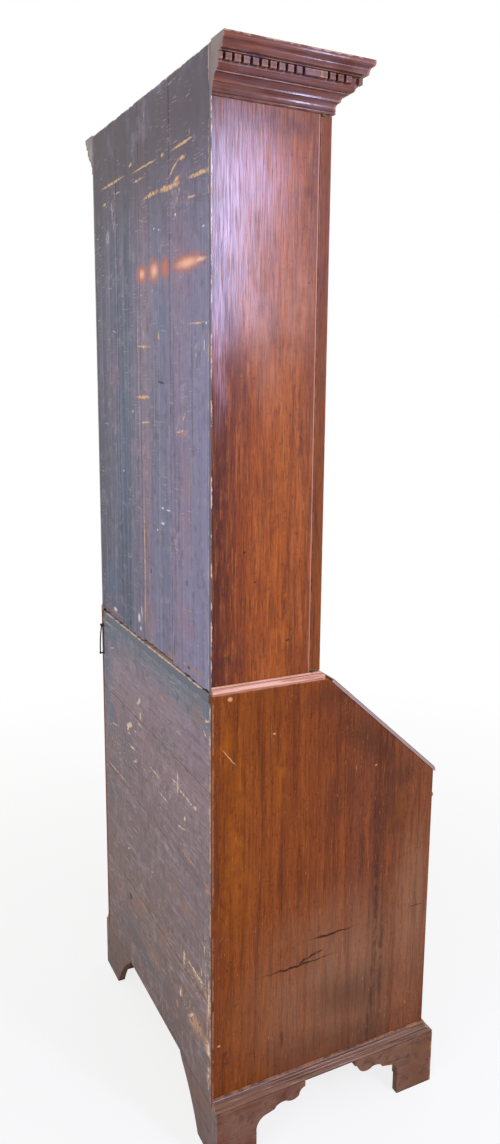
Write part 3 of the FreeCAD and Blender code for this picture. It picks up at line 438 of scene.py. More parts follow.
upper_pale_scribbles = (
    (145, 930, 12, 70, 12), (160, 905, 8, 50, -20), (135, 795, 34, 4, 30), (120, 768, 40, 4, 0),
    (150, 780, 6, 30, 10), (180, 900, 30, 4, 0), (345, 885, 70, 3, -14), (523, 820, 26, 3, -40),
    (370, 1080, 5, 34, 0), (520, 1104, 70, 4, 0), (268, 860, 5, 160, 0), (535, 234, 30, 6, -30),
    (150, 670, 40, 5, 0), (75, 460, 40, 6, 0), (312, 640, 6, 190, 0), (316, 486, 6, 80, 0),
    (312, 560, 4, 120, 0), (110, 880, 40, 40, 0), (170, 960, 6, 60, 8),
)
# Painted pools of warm light on the upper back, and their brighter painted cores
upper_light_patches = (
    (345, 779, 100, 60, 0), (418, 779, 96, 74, 0), (482, 779, 70, 60, 0), (600, 778, 230, 48, 0),
)
upper_light_patch_cores = (
    (345, 779, 50, 28, 0), (420, 779, 62, 40, 0), (600, 777, 170, 26, 0), (660, 777, 90, 14, 0),
)
upper_pink_clouds = (
    (350, 380, 60, 280, 0), (590, 330, 90, 420, 0), (560, 780, 260, 220, 0), (290, 420, 90, 60, 0),
    (380, 60, 130, 110, 0), (130, 560, 120, 300, 0), (600, 90, 160, 110, 0),
)
upper_blue_clouds = (
    (462, 690, 70, 130, 0), (90, 80, 220, 200, 0), (200, 400, 70, 700, 0), (480, 240, 60, 300, 0),
)
upper_worn_fields = (
    (150, 930, 110, 160, 0), (120, 775, 90, 60, 0), (350, 380, 80, 260, 0), (345, 660, 80, 160, 0),
    (570, 470, 130, 60, 0), (560, 900, 240, 120, 0), (640, 620, 110, 200, 0), (520, 250, 120, 180, 0),
)
upper_dark_marks = (
    (520, 28, 5, 66, 0), (455, 560, 60, 6, -6), (380, 160, 9, 20, 0), (590, 176, 9, 18, 0),
    (230, 6, 14, 20, 0), (598, 6, 18, 10, 0), (12, 520, 14, 700, 0),
)

lower_cream_scratches = (
    (88, 807, 40, 4, 14), (222, 652, 60, 17, 24), (240, 600, 60, 8, 4), (255, 572, 36, 8, 20),
    (540, 636, 9, 66, 0), (585, 624, 130, 8, -4), (638, 624, 20, 14, 0), (580, 574, 18, 12, 30),
    (706, 124, 28, 44, 0), (640, 256, 150, 7, 0), (708, 240, 10, 120, 0), (612, 138, 50, 9, 40),
    (668, 262, 9, 60, 0), (570, 240, 7, 80, 0), (548, 150, 12, 22, 0), (706, 60, 9, 80, 0),
    (700, 830, 30, 8, 20), (714, 790, 7, 60, 0), (690, 800, 24, 6, -30), (716, 850, 12, 34, 0),
    (292, 735, 30, 14, 40), (300, 700, 9, 30, 0), (205, 640, 24, 24, 0), (260, 650, 30, 5, 0),
    (515, 632, 60, 5, 0), (285, 728, 26, 10, 30), (290, 676, 30, 7, 0), (213, 628, 30, 6, 0),
    (575, 250, 5, 60, 0), (686, 350, 4, 60, 0), (689, 270, 4, 60, 0), (120, 488, 210, 4, 1),
    (450, 566, 80, 5, 0), (370, 345, 26, 5, 30), (100, 610, 70, 4, 8), (400, 602, 90, 5, 0),
    (195, 318, 16, 6, 30), (650, 250, 90, 4, 0), (60, 862, 70, 4, 0), (560, 545, 70, 4, 10),
)
lower_worn_fields = (
    (230, 640, 120, 90, 0), (285, 725, 60, 60, 0), (545, 630, 160, 90, 0), (640, 240, 190, 120, 0),
    (600, 140, 150, 110, 0), (700, 330, 60, 240, 0), (420, 585, 330, 60, 0), (150, 560, 260, 120, 0),
    (225, 60, 60, 60, 0), (60, 600, 110, 60, 0),
)
lower_orange_scars = (
    (553, 156, 28, 44, 0), (696, 128, 40, 60, 0), (694, 242, 34, 22, 0), (612, 140, 44, 8, 50),
    (640, 150, 30, 5, -30), (700, 60, 12, 60, 0), (600, 494, 150, 5, 0), (470, 455, 26, 24, 0),
    (700, 480, 30, 30, 0), (530, 110, 20, 30, 0), (700, 190, 16, 150, 0), (640, 135, 120, 60, 10),
)
lower_brown_clouds = (
    (280, 206, 170, 90, 6), (445, 210, 190, 80, 0), (115, 160, 140, 60, 12), (620, 250, 200, 60, 0),
    (380, 120, 300, 60, 3), (560, 380, 260, 60, 0), (455, 795, 190, 50, 2), (640, 830, 160, 60, 0),
)
lower_teal_clouds = (
    (110, 840, 250, 140, 0), (40, 720, 150, 440, 0), (700, 850, 90, 120, 0), (60, 620, 200, 160, 30),
)
lower_dusk_clouds = (
    (190, 600, 330, 300, 30), (300, 100, 700, 110, 0), (60, 420, 160, 200, 0), (430, 700, 300, 120, 0),
)
lower_dark_marks = ((205, 192, 24, 24, 0), (655, 125, 9, 8, 0), (340, 560, 10, 8, 0), (570, 300, 8, 14, 0))

# Tones side by side: share of the way across or up, and colour

# The upper back's stain tones, lightening to lavender towards the left side as a painted sheen
upper_back_tone_and_sheen_shares = (
    (0.0, "#504e5e"), (0.1, "#5b5a6a"), (0.19, "#5d6077"), (0.29, "#4a566a"), (0.39, "#6e6a80"),
    (0.49, "#877889"), (0.58, "#75758f"), (0.66, "#79758f"), (0.76, "#877a95"),
    (0.88, "#827e9c"), (1.0, "#8c87a6"),
)
lower_back_tone_shares = (
    (0.0, "#6a554c"), (0.12, "#765f55"), (0.28, "#7b635a"), (0.45, "#7d6865"), (0.6, "#7f6969"),
    (0.78, "#8c7376"), (0.92, "#8e7b84"), (1.0, "#6c7480"),
)
lower_side_tone_shares = (
    (0.0, "#743814"), (0.05, "#7e3f11"), (0.14, "#7c3d12"), (0.34, "#7a3c18"), (0.5, "#743a1d"),
    (0.66, "#713d26"), (0.71, "#59301f"), (0.77, "#723f26"), (0.88, "#7a4529"), (1.0, "#6f4028"),
)
upper_side_tone_shares = (
    (0.0, "#4e211b"), (0.12, "#62291c"), (0.24, "#7e3a1a"), (0.42, "#8f461a"), (0.62, "#994d18"),
    (0.82, "#8f4619"), (0.93, "#82401c"), (1.0, "#7e4226"),
)

# Heights above or below an edge between which a tone comes in, in millimetres

side_shadow = (950, 1030)
side_gloss_fade = (760, 330)
waist_shadow = (5, 3)
cornice_dust = (-2, -1)
eaves_shade = (-360, -60)

# Depths below the back face between which a tone comes in, and the width of a facing, in millimetres

stain_depths = (1.5, 0.8)
rubbed_depths = (12, 4)
chipped_depths = (12, 9)
end_depths = (3, 2)
facing_width = 18

# Marks on the sides: across, up, length and width in millimetres, and tilt in degrees

side_low_light_nicks = (
    (34, 760, 60, 2.4, -52), (131, 792, 9, 4, -8), (36, 877, 13, 11, 0), (14, 142, 9, 6, 0),
    (372, 680, 8, 4, 20),
)
side_low_dark_scratches = (
    (275, 319, 150, 6, 0), (262, 318, 70, 8, -1), (195, 268, 230, 6, 1), (226, 282, 40, 7, 24),
    (245, 285, 26, 5, 10), (175, 266, 90, 6, 0), (490, 324, 50, 3, 0), (205, 275, 30, 9, 28),
)
side_low_dark_joint = (
    (384, 330, 14, 620, 1), (372, 60, 12, 150, 0), (380, 150, 16, 260, 0), (374, 560, 8, 240, 0),
    (156, 110, 16, 100, 0), (400, 220, 18, 420, 0), (30, 110, 30, 60, 0),
)
side_low_gold = ((50, 560, 60, 560, 0), (438, 550, 60, 140, 0), (150, 700, 40, 260, 0), (26, 780, 40, 160, 0))
side_low_dusk = (
    (290, 40, 560, 230, 0), (300, 850, 330, 110, 0), (440, 640, 160, 120, 0), (330, 160, 420, 200, 0),
    (290, 640, 120, 190, 0), (352, 742, 420, 90, -42), (420, 560, 150, 200, 0),
)
# A pale haze over the middle of the bureau side: a painted sheen
side_low_painted_sheen = ((290, 190, 640, 600, 0), (480, 300, 170, 600, 0))
side_up_dents = ((68, 269, 8, 7, 0), (161, 89, 12, 6, 30), (90, 210, 6, 5, 0), (195, 760, 7, 4, 0))
# Darker patches on the side, and along the top a painted shadow under the cornice
side_up_dusk_and_shadow = (
    (16, 300, 60, 760, 0), (40, 60, 120, 200, 0), (70, 780, 30, 60, 0), (180, 480, 14, 160, 0),
    (120, 690, 40, 180, 12), (64, 560, 30, 240, 0), (200, 940, 40, 200, 0), (150, 180, 20, 240, 0),
    (120, 1022, 300, 60, 0),
)
# Faded polish at the top of the back edge, with a painted highlight where a window's reflection falls
side_up_bloom_and_highlight = ((34, 880, 110, 420, 0), (84, 930, 220, 260, 0), (16, 640, 44, 380, 0))
# Where the painted highlight tapers off below, over faded polish
side_up_fade_and_highlight_taper = ((96, 690, 130, 460, 8), (170, 720, 110, 300, 0))


def mahogany(name, grain, roughness=0.42, specular=0.2, coat=0.0, front_runs=False, ground=None):
    """Mahogany under old wax polish: its ground colour, gloss and coat, with the grain turned along an axis.
    """
    tint = colours()
    wood = Finish(name, ground or tint.mahogany, roughness, specular, coat)
    wood.run_grain(grain)
    if front_runs:
        wood.run_grain(0, wood.front_run())
    return wood


def figured(wood, ribbon=0.5, pore=0.5, hollow=0.0003):
    """Adds the figure of mahogany: light and dark ribbons, open pores and a slightly hollow surface."""
    tint = colours()
    wood.lay(tint.mahogany_light, wood.streaks(17, 520, 0.45, 0.7, ribbon))
    wood.lay(tint.mahogany_dark, wood.streaks(26, 600, 0.5, 0.75, ribbon, shift=3))
    wood.lay(tint.mahogany_dark, wood.streaks(5, 150, 0.5, 0.68, ribbon, shift=7))
    pores = wood.streaks(sizes().pore_width / mm, 30, 0.55, 0.68, pore, 2.0, 11)
    wood.lay("#34150d", pores)
    wood.relief(pores, -0.00012)
    wood.relief(wood.streaks(30, 300, 0.3, 0.7, shift=5, detail=1.0), hollow)
    return wood


def lower_side_mahogany():
    """Bureau side: golden towards the back, dusky at the foot and along the slope, with a dark glue line and
    a pale painted sheen over its middle.
    """
    wood = mahogany("Mahogany board, waxed, bureau side", 2, 0.44, 0.09)
    wood.colour = wood.tones(1, desk_high.y, desk_low.y, lower_side_tone_shares, 24)
    # Painted sheen, under the figure
    wood.mark("#946a4a", lower_side, side_low_painted_sheen, 1.0, 0.6, (140, 24))
    wood = figured(wood, 0.45, 0.5)
    wood.lay("#a8601c", wood.streaks(3, 40, 0.56, 0.72, 0.5, shift=15))
    wood.lay("#46220f", wood.streaks(14, 260, 0.5, 0.7, 0.45, shift=18))
    wood.lay("#3a1c0e", wood.clouds(6, 0.55, 0.72, 0.45, shift=2))
    wood.mark("#9e560e", lower_side, side_low_gold, 1.0, 0.6, (60, 40), (30, 0.3, 0.6))
    # The painted sheen again, over the figure
    wood.mark("#86604a", lower_side, side_low_painted_sheen, 1.0, 0.35, (140, 24))
    wood.mark("#45281a", lower_side, side_low_dusk, 1.0, 0.55, (140, 40))
    wood.mark("#33201a", lower_side, side_low_dark_joint, 0.9, 0.6, (30, 10), (20, 0.35, 0.55))
    wood.mark("#2c140c", lower_side, side_low_dark_scratches, 0.7, 0.9, (14, 9))
    wood.mark("#d8a070", lower_side, side_low_light_nicks, 0.5, 0.7, (9, 4))
    wood.lay("#c79a74", wood.both(wood.scuffs(2, 16, 1.6, 0.68, 0.74, 0.6, 18), wood.clouds(90, 0.45, 0.6)))
    wood.lay("#b98d78", wood.both(wood.facing()[0], wood.frayed(1, back_face, -2, 0.6)))
    return worn_edges(wood, 0.45)


def upper_side_mahogany():
    """Bookcase side: straighter grain, faded at the top of the back edge, with a painted highlight there and
    a painted shadow under the cornice.
    """
    wood = mahogany("Mahogany board, waxed, bookcase side", 2, 0.4, 0.12, 0.34)
    wood.colour = wood.tones(1, case_high.y, case_low.y, upper_side_tone_shares, 14)
    wood = figured(wood, 0.4, 0.7, 0.00008)
    wood.lay("#bc6c2c", wood.streaks(2.6, 34, 0.56, 0.72, 0.5, shift=15))
    wood.lay("#3c170e", wood.streaks(3, 60, 0.53, 0.7, 0.5, shift=17))
    wood.lay("#5a2812", wood.streaks(16, 300, 0.48, 0.66, 0.4, shift=29))
    wood.lay("#6c3014", wood.clouds(60, 0.48, 0.66, 0.4, shift=27))
    wood.lay("#b0622e", wood.streaks(7, 110, 0.5, 0.68, 0.45, shift=35))
    wood.lay("#5a2a1c", wood.rise(case_low.z, side_shadow, 0.4))
    wood.lay("#4a2010", wood.clouds(7, 0.54, 0.72, 0.4, shift=2))
    # Darker patches, and a painted shadow along the top under the cornice
    wood.mark("#3c1a16", upper_side, side_up_dusk_and_shadow, 1.0, 0.6, (60, 40), (24, 0.3, 0.55))
    # Pale tan where the painted highlight tapers off, with faded polish
    wood.mark("#b8846c", upper_side, side_up_fade_and_highlight_taper, 1.0, 0.3, (70, 30), (30, 0.2, 0.6))
    # Pale lavender patches broken along the grain: faded polish and a painted highlight
    bloom_and_highlight = wood.marks(upper_side, side_up_bloom_and_highlight, 1.0, 0.8, (70, 30))
    wood.lay("#b08a9c", wood.both(bloom_and_highlight, wood.streaks(2.4, 80, 0.32, 0.64, shift=19)))
    wood.mark("#2c120c", upper_side, side_up_dents, 0.6, 0.8, (5, 4))
    # A painted highlight: a pale strip along the front edge of the side
    wood.lay("#c98f7c", wood.stretch_of(1, case_low.y + 4 * mm, case_low.y + 1 * mm, 0.6))
    wood.wax(0.12, wood.streaks(2.4, 70, 0.42, 0.62, shift=9))
    wood.wax(0.16, wood.rise(case_low.z, side_gloss_fade))
    wood.dull(0.5, wood.streaks(9, 160, 0.45, 0.7, shift=10))
    wood.relief(wood.streaks(4, 60, 0.3, 0.7, shift=23), 0.00005)
    wood = worn_edges(wood, 0.5)
    wood.lay(colours().stain, wood.at_back(stain_depths))
    wood.lay("#d6c0b8", wood.both(wood.facing()[0], wood.frayed(1, back_face, -2.4, 0.8, 0.52)))
    return wood


def worn_edges(wood, strength=0.55):
    """Edges of polished mahogany: rubbed paler, with darker polish and painted shade held in the corners."""
    # Painted shade in corners and hollows, with the old polish that gathers there
    wood.lay("#2c140e", wood.grime_and_shade(14, 0.35, 0.8, 0.6))
    wood.lay("#c08a64", wood.both(wood.rubbed(4, 0.45, 0.85, strength), wood.clouds(22, 0.38, 0.62, shift=4)))
    return wood


def moulding_mahogany():
    """Mouldings: grain along each run, dark in the quirks, chipped along the top fillet."""
    wood = mahogany("Mahogany moulding, old polish", 1, 0.32, 0.12, 0.5, True, linear("#5f3122"))
    wood.lay("#8c5034", wood.streaks(7, 160, 0.42, 0.68, 0.6))
    wood.lay("#2a130f", wood.streaks(3.5, 120, 0.5, 0.7, 0.8, shift=6))
    wood.lay("#6c4e54", wood.clouds(70, 0.3, 0.7, 0.5))
    wood.lay("#8d6a66", wood.streaks(3, 60, 0.6, 0.74, 0.5, shift=12))
    wood.wax(0.2, wood.clouds(30, 0.42, 0.62, shift=14))
    wood.relief(wood.streaks(4, 50, 0.3, 0.7, shift=15), 0.00005)
    wood = worn_edges(wood, 0.6)
    upright = wood.between(wood.facing()[2], 0.9, 0.5)
    level = wood.between(wood.facing()[2], 0.5, 0.9)
    dusty_top = wood.both(level, wood.rise(cornice_high.z, cornice_dust))
    wood.lay("#64504a", dusty_top)
    wood.dull(0.85, dusty_top)
    wood.wax(0.0, dusty_top)
    wood.lay("#b49a80", wood.both(upright, wood.frayed(2, cornice_high.z, -3, 0.8, 0.5)))
    wood.lay("#7c6a66", wood.both(wood.facing()[1], wood.at_back(end_depths, 0.8)))
    return wood


def plinth_mahogany():
    """Plinth moulding: like the cornice, dustier and more knocked."""
    wood = mahogany("Mahogany plinth, dull polish", 1, 0.36, 0.25, 0.25, True, linear("#7a543f"))
    wood.lay("#3f2820", wood.streaks(4, 140, 0.45, 0.65, 0.8, shift=2))
    wood.lay("#a98878", wood.streaks(4, 70, 0.55, 0.7, 0.5, shift=9))
    return worn_edges(wood, 0.9)


def waist_mahogany():
    """Waist moulding: rubbed to a pinkish tan where books and hands have slid over it."""
    wood = mahogany("Mahogany moulding, rubbed pale", 1, 0.45, 0.3, 0.0, True, linear("#b87c66"))
    wood.lay("#e2b09c", wood.streaks(6, 90, 0.32, 0.56, 0.9, shift=2))
    wood.lay("#8a4c3c", wood.streaks(4, 60, 0.58, 0.72, 0.6, shift=8))
    wood.lay("#8c4c2c", wood.rise(waist_low.z, waist_shadow, 0.7))
    wood.lay("#7c4630", wood.between(wood.front_run(), 0, 1, 0.75))
    return worn_edges(wood, 0.9)


def foot_mahogany():
    """Bracket feet: browner and duller than the case, knocked along their lower edges."""
    wood = mahogany("Mahogany foot, dull polish", 1, 0.5, 0.2, 0.0, True, linear("#6c442c"))
    return worn_edges(knocked(wood), 0.6)


def rear_foot_mahogany():
    """Rear feet: like the others, with their plain backs stained to match the boards above."""
    wood = mahogany("Mahogany foot, stained behind", 1, 0.5, 0.2, 0.0, True, linear("#6c4030"))
    wood.lay("#74605c", wood.at_back(end_depths))
    return worn_edges(knocked(wood), 0.5)


def knocked(wood):
    """Adds the stains and knocks of a piece near the floor."""
    wood.lay("#80604c", wood.clouds(50, 0.35, 0.65, 0.5))
    wood.lay("#39261b", wood.clouds(20, 0.5, 0.7, 0.5, shift=6))
    wood.lay("#3f2418", wood.streaks(6, 120, 0.5, 0.7, 0.4, shift=9))
    wood.lay("#a08674", wood.scuffs(0, 24, 3, 0.64, 0.74, 0.5, 13))
    return wood


def fine_mahogany(name):
    """The best figured wood, polished, with its grain from side to side."""
    wood = figured(mahogany(name, 0, 0.32, 0.3, 0.1))
    wood.lay("#a05a2c", wood.streaks(60, 260, 0.45, 0.7, 0.4, shift=8))
    return wood


def front_mahogany():
    """Drawer fronts and writing board."""
    return worn_edges(fine_mahogany("Mahogany, figured, polished front"), 0.45)


def fall_mahogany():
    """The fall: figured like the drawers, its end grain grey and dusty."""
    wood = fine_mahogany("Mahogany, figured, fall")
    for side in (1, -1):
        end_grain = wood.stretch_of(0, side * (fall_low.x + 2 * mm), side * (fall_low.x + 1 * mm), 0.85)
        wood.lay("#94807e", end_grain)
    # Rubbed pale arrises made stronger here: wear, and a painted highlight along the edges
    return worn_edges(wood, 0.6)


def top_mahogany():
    """Top board of the bureau: polished in front, its back edge rubbed down to pale wood."""
    wood = figured(mahogany("Mahogany top board, rubbed back edge", 0, 0.4, 0.25))
    wood = worn_edges(wood, 0.5)
    wood.lay("#8a6e66", wood.at_back(rubbed_depths, 0.8))
    wood.lay("#646873", wood.at_back(stain_depths))
    chipped = wood.frayed(2, top_board_high.z, -3, 0.9, 0.46)
    wood.lay("#e6c9b4", wood.both(wood.at_back(chipped_depths), chipped))
    return wood


def panel_mahogany():
    """Door panels: upright grain with a bold dark figure."""
    wood = figured(mahogany("Mahogany panel, polished", 2, 0.32, 0.3, 0.1))
    wood.lay("#5a2a18", wood.streaks(44, 380, 0.46, 0.66, 0.5, shift=12))
    return worn_edges(wood, 0.4)


def door_frame_mahogany():
    """Door frames: upright grain in the stiles, level grain in the rails."""
    wood = mahogany("Mahogany door frame, polished", 2, 0.36, 0.12, 0.06, ground=linear("#713817"))
    reach = wood.add("ShaderNodeSeparateXYZ", {0: wood.place}).outputs[0]
    reach = wood.add("ShaderNodeMath", {0: reach}, operation="ABSOLUTE").outputs[0]
    nearest, farthest = sorted((abs(panel_low.x), abs(panel_high.x)))
    rail = wood.both(wood.between(reach, nearest, nearest + mm), wood.between(reach, farthest, farthest - mm))
    wood.run_grain(0, rail)
    wood = figured(wood, 0.45, 0.7)
    wood.lay("#45200f", wood.streaks(9, 160, 0.5, 0.68, 0.55, shift=16))
    return worn_edges(wood, 0.5)


def inner_mahogany():
    """Inside joinery: thin mahogany, waxed once and left dry."""
    wood = figured(mahogany("Mahogany, dry, inside joinery", 0, 0.55, 0.25))
    wood.lay("#96603a", wood.clouds(120, 0.3, 0.7, 0.5))
    return worn_edges(wood, 0.3)


def raw_pine(name, grain):
    """Unfinished pine: honey brown with age, darker late wood in each ring, dull, with dust and painted shade
    in its corners.
    """
    wood = Finish(name, linear("#b08a5c"), 0.75, 0.25)
    wood.run_grain(grain)
    wood.lay("#8c6238", wood.streaks(7, 420, 0.45, 0.65, 0.6))
    wood.lay("#c9a577", wood.streaks(18, 500, 0.5, 0.75, 0.5, shift=4))
    wood.lay("#6e5138", wood.clouds(130, 0.45, 0.75, 0.4))
    rings = wood.streaks(3, 300, 0.5, 0.7, 0.5, shift=8)
    wood.lay("#7a5630", rings)
    wood.relief(rings, -0.00015)
    # Painted shade in corners and hollows, with dust
    wood.lay("#4a3524", wood.grime_and_shade(20, 0.3, 0.8, 0.5))
    return wood


def faced_pine(name, grain):
    """Drawer blades and partitions: pine, with a strip of mahogany glued along the front edge."""
    wood = raw_pine(name, grain)
    strip = wood.stretch_of(1, blade_front + (facing_width + 1) * mm, blade_front + facing_width * mm)
    wood.lay(colours().mahogany, strip)
    wood.lay(colours().mahogany_dark, wood.both(strip, wood.streaks(8, 220, 0.45, 0.66, 0.8, shift=30)))
    wood.lay(colours().mahogany_light, wood.both(strip, wood.streaks(5, 150, 0.52, 0.7, 0.6, shift=31)))
    wood.dull(0.38, strip)
    return wood


def stained_pine(name, grain, low, high):
    """Rough pine under a thin dark stain that has gone grey, with a dull sheen."""
    wood = Finish(name, colours().stain, 0.5, 0.3)
    wood.run_grain(grain)
    wood.reach = (low, high)
    return wood


def weathered(wood, streaked):
    """Adds blotches, light and dark streaks along the grain, and raised fibres."""
    wood.lay("#a39db0", wood.streaks(16, 520, 0.45, 0.72, 0.5 * streaked))
    wood.lay("#45444e", wood.streaks(9, 420, 0.48, 0.72, 0.6 * streaked, shift=3))
    wood.lay("#a89ca4", wood.clouds(34, 0.5, 0.72, 0.35, shift=5))
    wood.lay("#4a4143", wood.clouds(24, 0.5, 0.72, 0.4, shift=9))
    fibres = wood.streaks(2.4, 60, 0.5, 0.7, 0.4, 3.0, 9)
    wood.lay("#3c3a43", fibres)
    wood.relief(fibres, -0.0002)
    wood.relief(wood.streaks(60, 500, 0.3, 0.7, detail=1.0, shift=2), 0.0008)
    return wood


def upper_back_pine(low, high, count):
    """A plank of the upper back: blue grey and purple, scored across down to bare wood, with painted pools of
    warm light and a painted sheen towards the left side.
    """
    wood = stained_pine(f"Pine, stained, bookcase back, plank {count}", 2, low, high)
    # Stain tones, with a painted sheen over their lighter end
    wood.colour = wood.tones(0, -case_low.x, case_low.x, upper_back_tone_and_sheen_shares, 22)
    wood = weathered(wood, 0.8)
    shade = wood.rise(upper_back_high.z, eaves_shade, 0.9)
    wood.lay("#4d4146", wood.both(shade, wood.clouds(60, 0.15, 0.5, shift=7)))
    wood.mark("#94707f", upper_back, upper_pink_clouds, 1.0, 0.6, (40, 40), (26, 0.3, 0.6))
    wood.mark("#556c86", upper_back, upper_blue_clouds, 1.0, 0.6, (40, 40), (26, 0.25, 0.55))
    scuffs = wood.scuffs(0, 34, 3, 0.6, 0.7, shift=15)
    wood.lay("#b9a6a8", wood.both(scuffs, wood.clouds(90, 0.44, 0.6, 0.7)))
    wood.mark("#b8a3ae", upper_back, upper_worn_fields, 1.0, 0.7, (30, 30), (14, 0.5, 0.7))
    # Painted pools of warm light, brightest in their cores
    wood.mark("#cc7450", upper_back, upper_light_patches, 1.0, 1.0, (20, 8))
    wood.mark("#f8c0a2", upper_back, upper_light_patch_cores, 1.0, 1.0, (16, 5))
    wood.mark("#bcb2ba", upper_back, upper_pale_scribbles, 0.7, 0.8, (16, 12), (6, 0.38, 0.54))
    wood.mark("#b07a58", upper_back, upper_orange_scars, 0.8, 1.0, (9, 9), (8, 0.34, 0.5))
    wood.mark(colours().scar, upper_back, upper_cream_scratches, 0.6, 1.0, (12, 7), (9, 0.36, 0.5))
    wood.mark("#e2e4e8", upper_back, upper_white_flecks, 0.6, 0.9, (6, 6))
    wood.mark("#22201f", upper_back, upper_dark_marks, 0.6, 0.85, (12, 5))
    wood.lay("#c9a992", wood.frayed(0, upper_back_low.x, 3, 0.8, 0.54))
    wood.lay("#d8b48c", wood.frayed(2, upper_back_high.z, -4, 0.9, 0.54))
    return pine_edges(wood)


def lower_back_pine(low, high, count):
    """A level board of the lower back: purple grey above, browner below where brooms and damp have worked."""
    wood = stained_pine(f"Pine, stained, bureau back, board {count}", 0, low, high)
    wood.colour = wood.tones(2, lower_back_low.z, lower_back_high.z, lower_back_tone_shares, 30)
    wood = weathered(wood, 0.35)
    wood.mark("#56697a", lower_back, lower_teal_clouds, 1.0, 0.85, (60, 50), (40, 0.18, 0.5))
    wood.mark("#565a62", lower_back, lower_dusk_clouds, 1.0, 0.5, (60, 50), (40, 0.2, 0.5))
    wood.mark("#9a6c52", lower_back, lower_brown_clouds, 1.0, 0.7, (50, 50), (16, 0.3, 0.62))
    level_scuffs = wood.scuffs(0, 34, 4, 0.54, 0.68, shift=14)
    wood.lay("#b0a2a2", wood.both(level_scuffs, wood.clouds(60, 0.4, 0.6, 0.6)))
    upright_scuffs = wood.scuffs(2, 30, 4, 0.56, 0.7, shift=17)
    wood.lay("#a89494", wood.both(upright_scuffs, wood.clouds(80, 0.42, 0.62, 0.6)))
    wood.mark("#d8bea6", lower_back, lower_worn_fields, 1.0, 1.0, (30, 30), (9, 0.54, 0.68))
    wood.mark("#c89468", lower_back, lower_orange_scars, 0.9, 0.9, (9, 14), (9, 0.36, 0.52))
    wood.mark("#ead0b0", lower_back, lower_cream_scratches, 0.6, 0.95, (8, 8), (7, 0.4, 0.52))
    wood.mark("#1c1816", lower_back, lower_dark_marks, 0.6, 0.85, (8, 5))
    wood.lay("#d8ac84", wood.frayed(0, lower_back_low.x, 6, 0.8, 0.52))
    return pine_edges(wood, 0.3)


def pine_edges(wood, dirt_and_shade=0.8):
    """Edges of the rough backs: grime and painted shade in the joints, pale splinters outside, and bare brown
    inner faces.
    """
    inner_face = wood.reach[0].y
    bare = wood.stretch_of(1, inner_face + 2 * mm, inner_face + 1 * mm)
    wood.lay("#80593a", bare)
    wood.lay("#50392a", wood.both(bare, wood.streaks(12, 340, 0.42, 0.68, 0.8, shift=33)))
    # Grime and painted shade in the joints and corners
    wood.lay("#1d1a1a", wood.grime_and_shade(8, 0.3, 0.7, dirt_and_shade))
    wood.lay("#c9a184", wood.both(wood.rubbed(5, 0.45, 0.85, 0.9), wood.clouds(16, 0.45, 0.6, shift=3)))
    return wood


def brass():
    """Brass, cast and once lacquered: brown where it isn't handled, brighter on the high parts."""
    metal = Finish("Brass, aged", colours().brass, 0.34, metallic=1.0)
    metal.lay("#5f4a2c", metal.clouds(9, 0.45, 0.7, 0.7))
    metal.lay("#3c3124", metal.grime_and_shade(4, 0.4, 0.85, 0.7))
    metal.lay("#cbb070", metal.rubbed(1.2, 0.4, 0.8, 0.6))
    metal.dull(0.55, metal.clouds(5, 0.4, 0.7, shift=3))
    metal.relief(metal.clouds(3, 0.3, 0.7), 0.00005)
    return metal


def dull_brass():
    """Brass of hinges and pivots: never cleaned, nearly as brown as the wood round it."""
    metal = Finish("Brass, dull, hinges and pivots", linear("#6e5836"), 0.6, metallic=1.0)
    metal.lay("#4a3a26", metal.clouds(6, 0.4, 0.65, 0.8))
    metal.relief(metal.clouds(3, 0.3, 0.7), 0.00005)
    return metal


def iron():
    """Wrought iron, hammered and browned: nearly black, with rust in its pits."""
    metal = Finish("Iron, browned", linear("#3a3836"), 0.55, metallic=0.7)
    metal.lay("#5a3a26", metal.clouds(6, 0.48, 0.68, 0.6))
    metal.lay("#77706a", metal.rubbed(1.0, 0.4, 0.8, 0.5))
    metal.relief(metal.clouds(4, 0.3, 0.7), 0.0002)
    return metal


finished = {}


def finish(make, *settings):
    """The material that a function lays up, made on its first use and shared after that."""
    key = (make.__name__, *settings)
    if key not in finished:
        finished[key] = make(*settings).done()
    return finished[key]


# Shapes

weld_gap = 0.00001
flat_angle = math.radians(0.5)
sharp_angle = math.radians(32)
flat_area = 0.002


def node_body(node):
    return frame["nodes"][node]["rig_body"]


def welded(node):
    """A node's solids as a mesh whose loose triangles are joined into flat faces."""
    work = bmesh.new()
    work.from_mesh(frame["nodes"][node].data)
    bmesh.ops.remove_doubles(work, verts=work.verts, dist=weld_gap)
    bmesh.ops.dissolve_limit(work, angle_limit=flat_angle, verts=work.verts, edges=work.edges)
    return work


def islands(work):
    """The separate solids of a mesh, each as a list of its vertices."""
    seen = set()
    found = []
    for first in work.verts:
        if first in seen:
            continue
        seen.add(first)
        queue = [first]
        for vert in queue:
            for edge in vert.link_edges:
                other = edge.other_vert(vert)
                if other not in seen:
                    seen.add(other)
                    queue.append(other)
        found.append(queue)
    return found


def box_of(verts):
    low = Vector([min(v.co[axis] for v in verts) for axis in range(3)])
    high = Vector([max(v.co[axis] for v in verts) for axis in range(3)])
    return low, high


def curved(face):
    """Whether a face is a strip of a rounded surface, and not a flat one of its own."""
    return face.calc_area() < flat_area and any(flat_angle < edge.calc_face_angle(0.0) < sharp_angle
                                                for edge in face.edges)


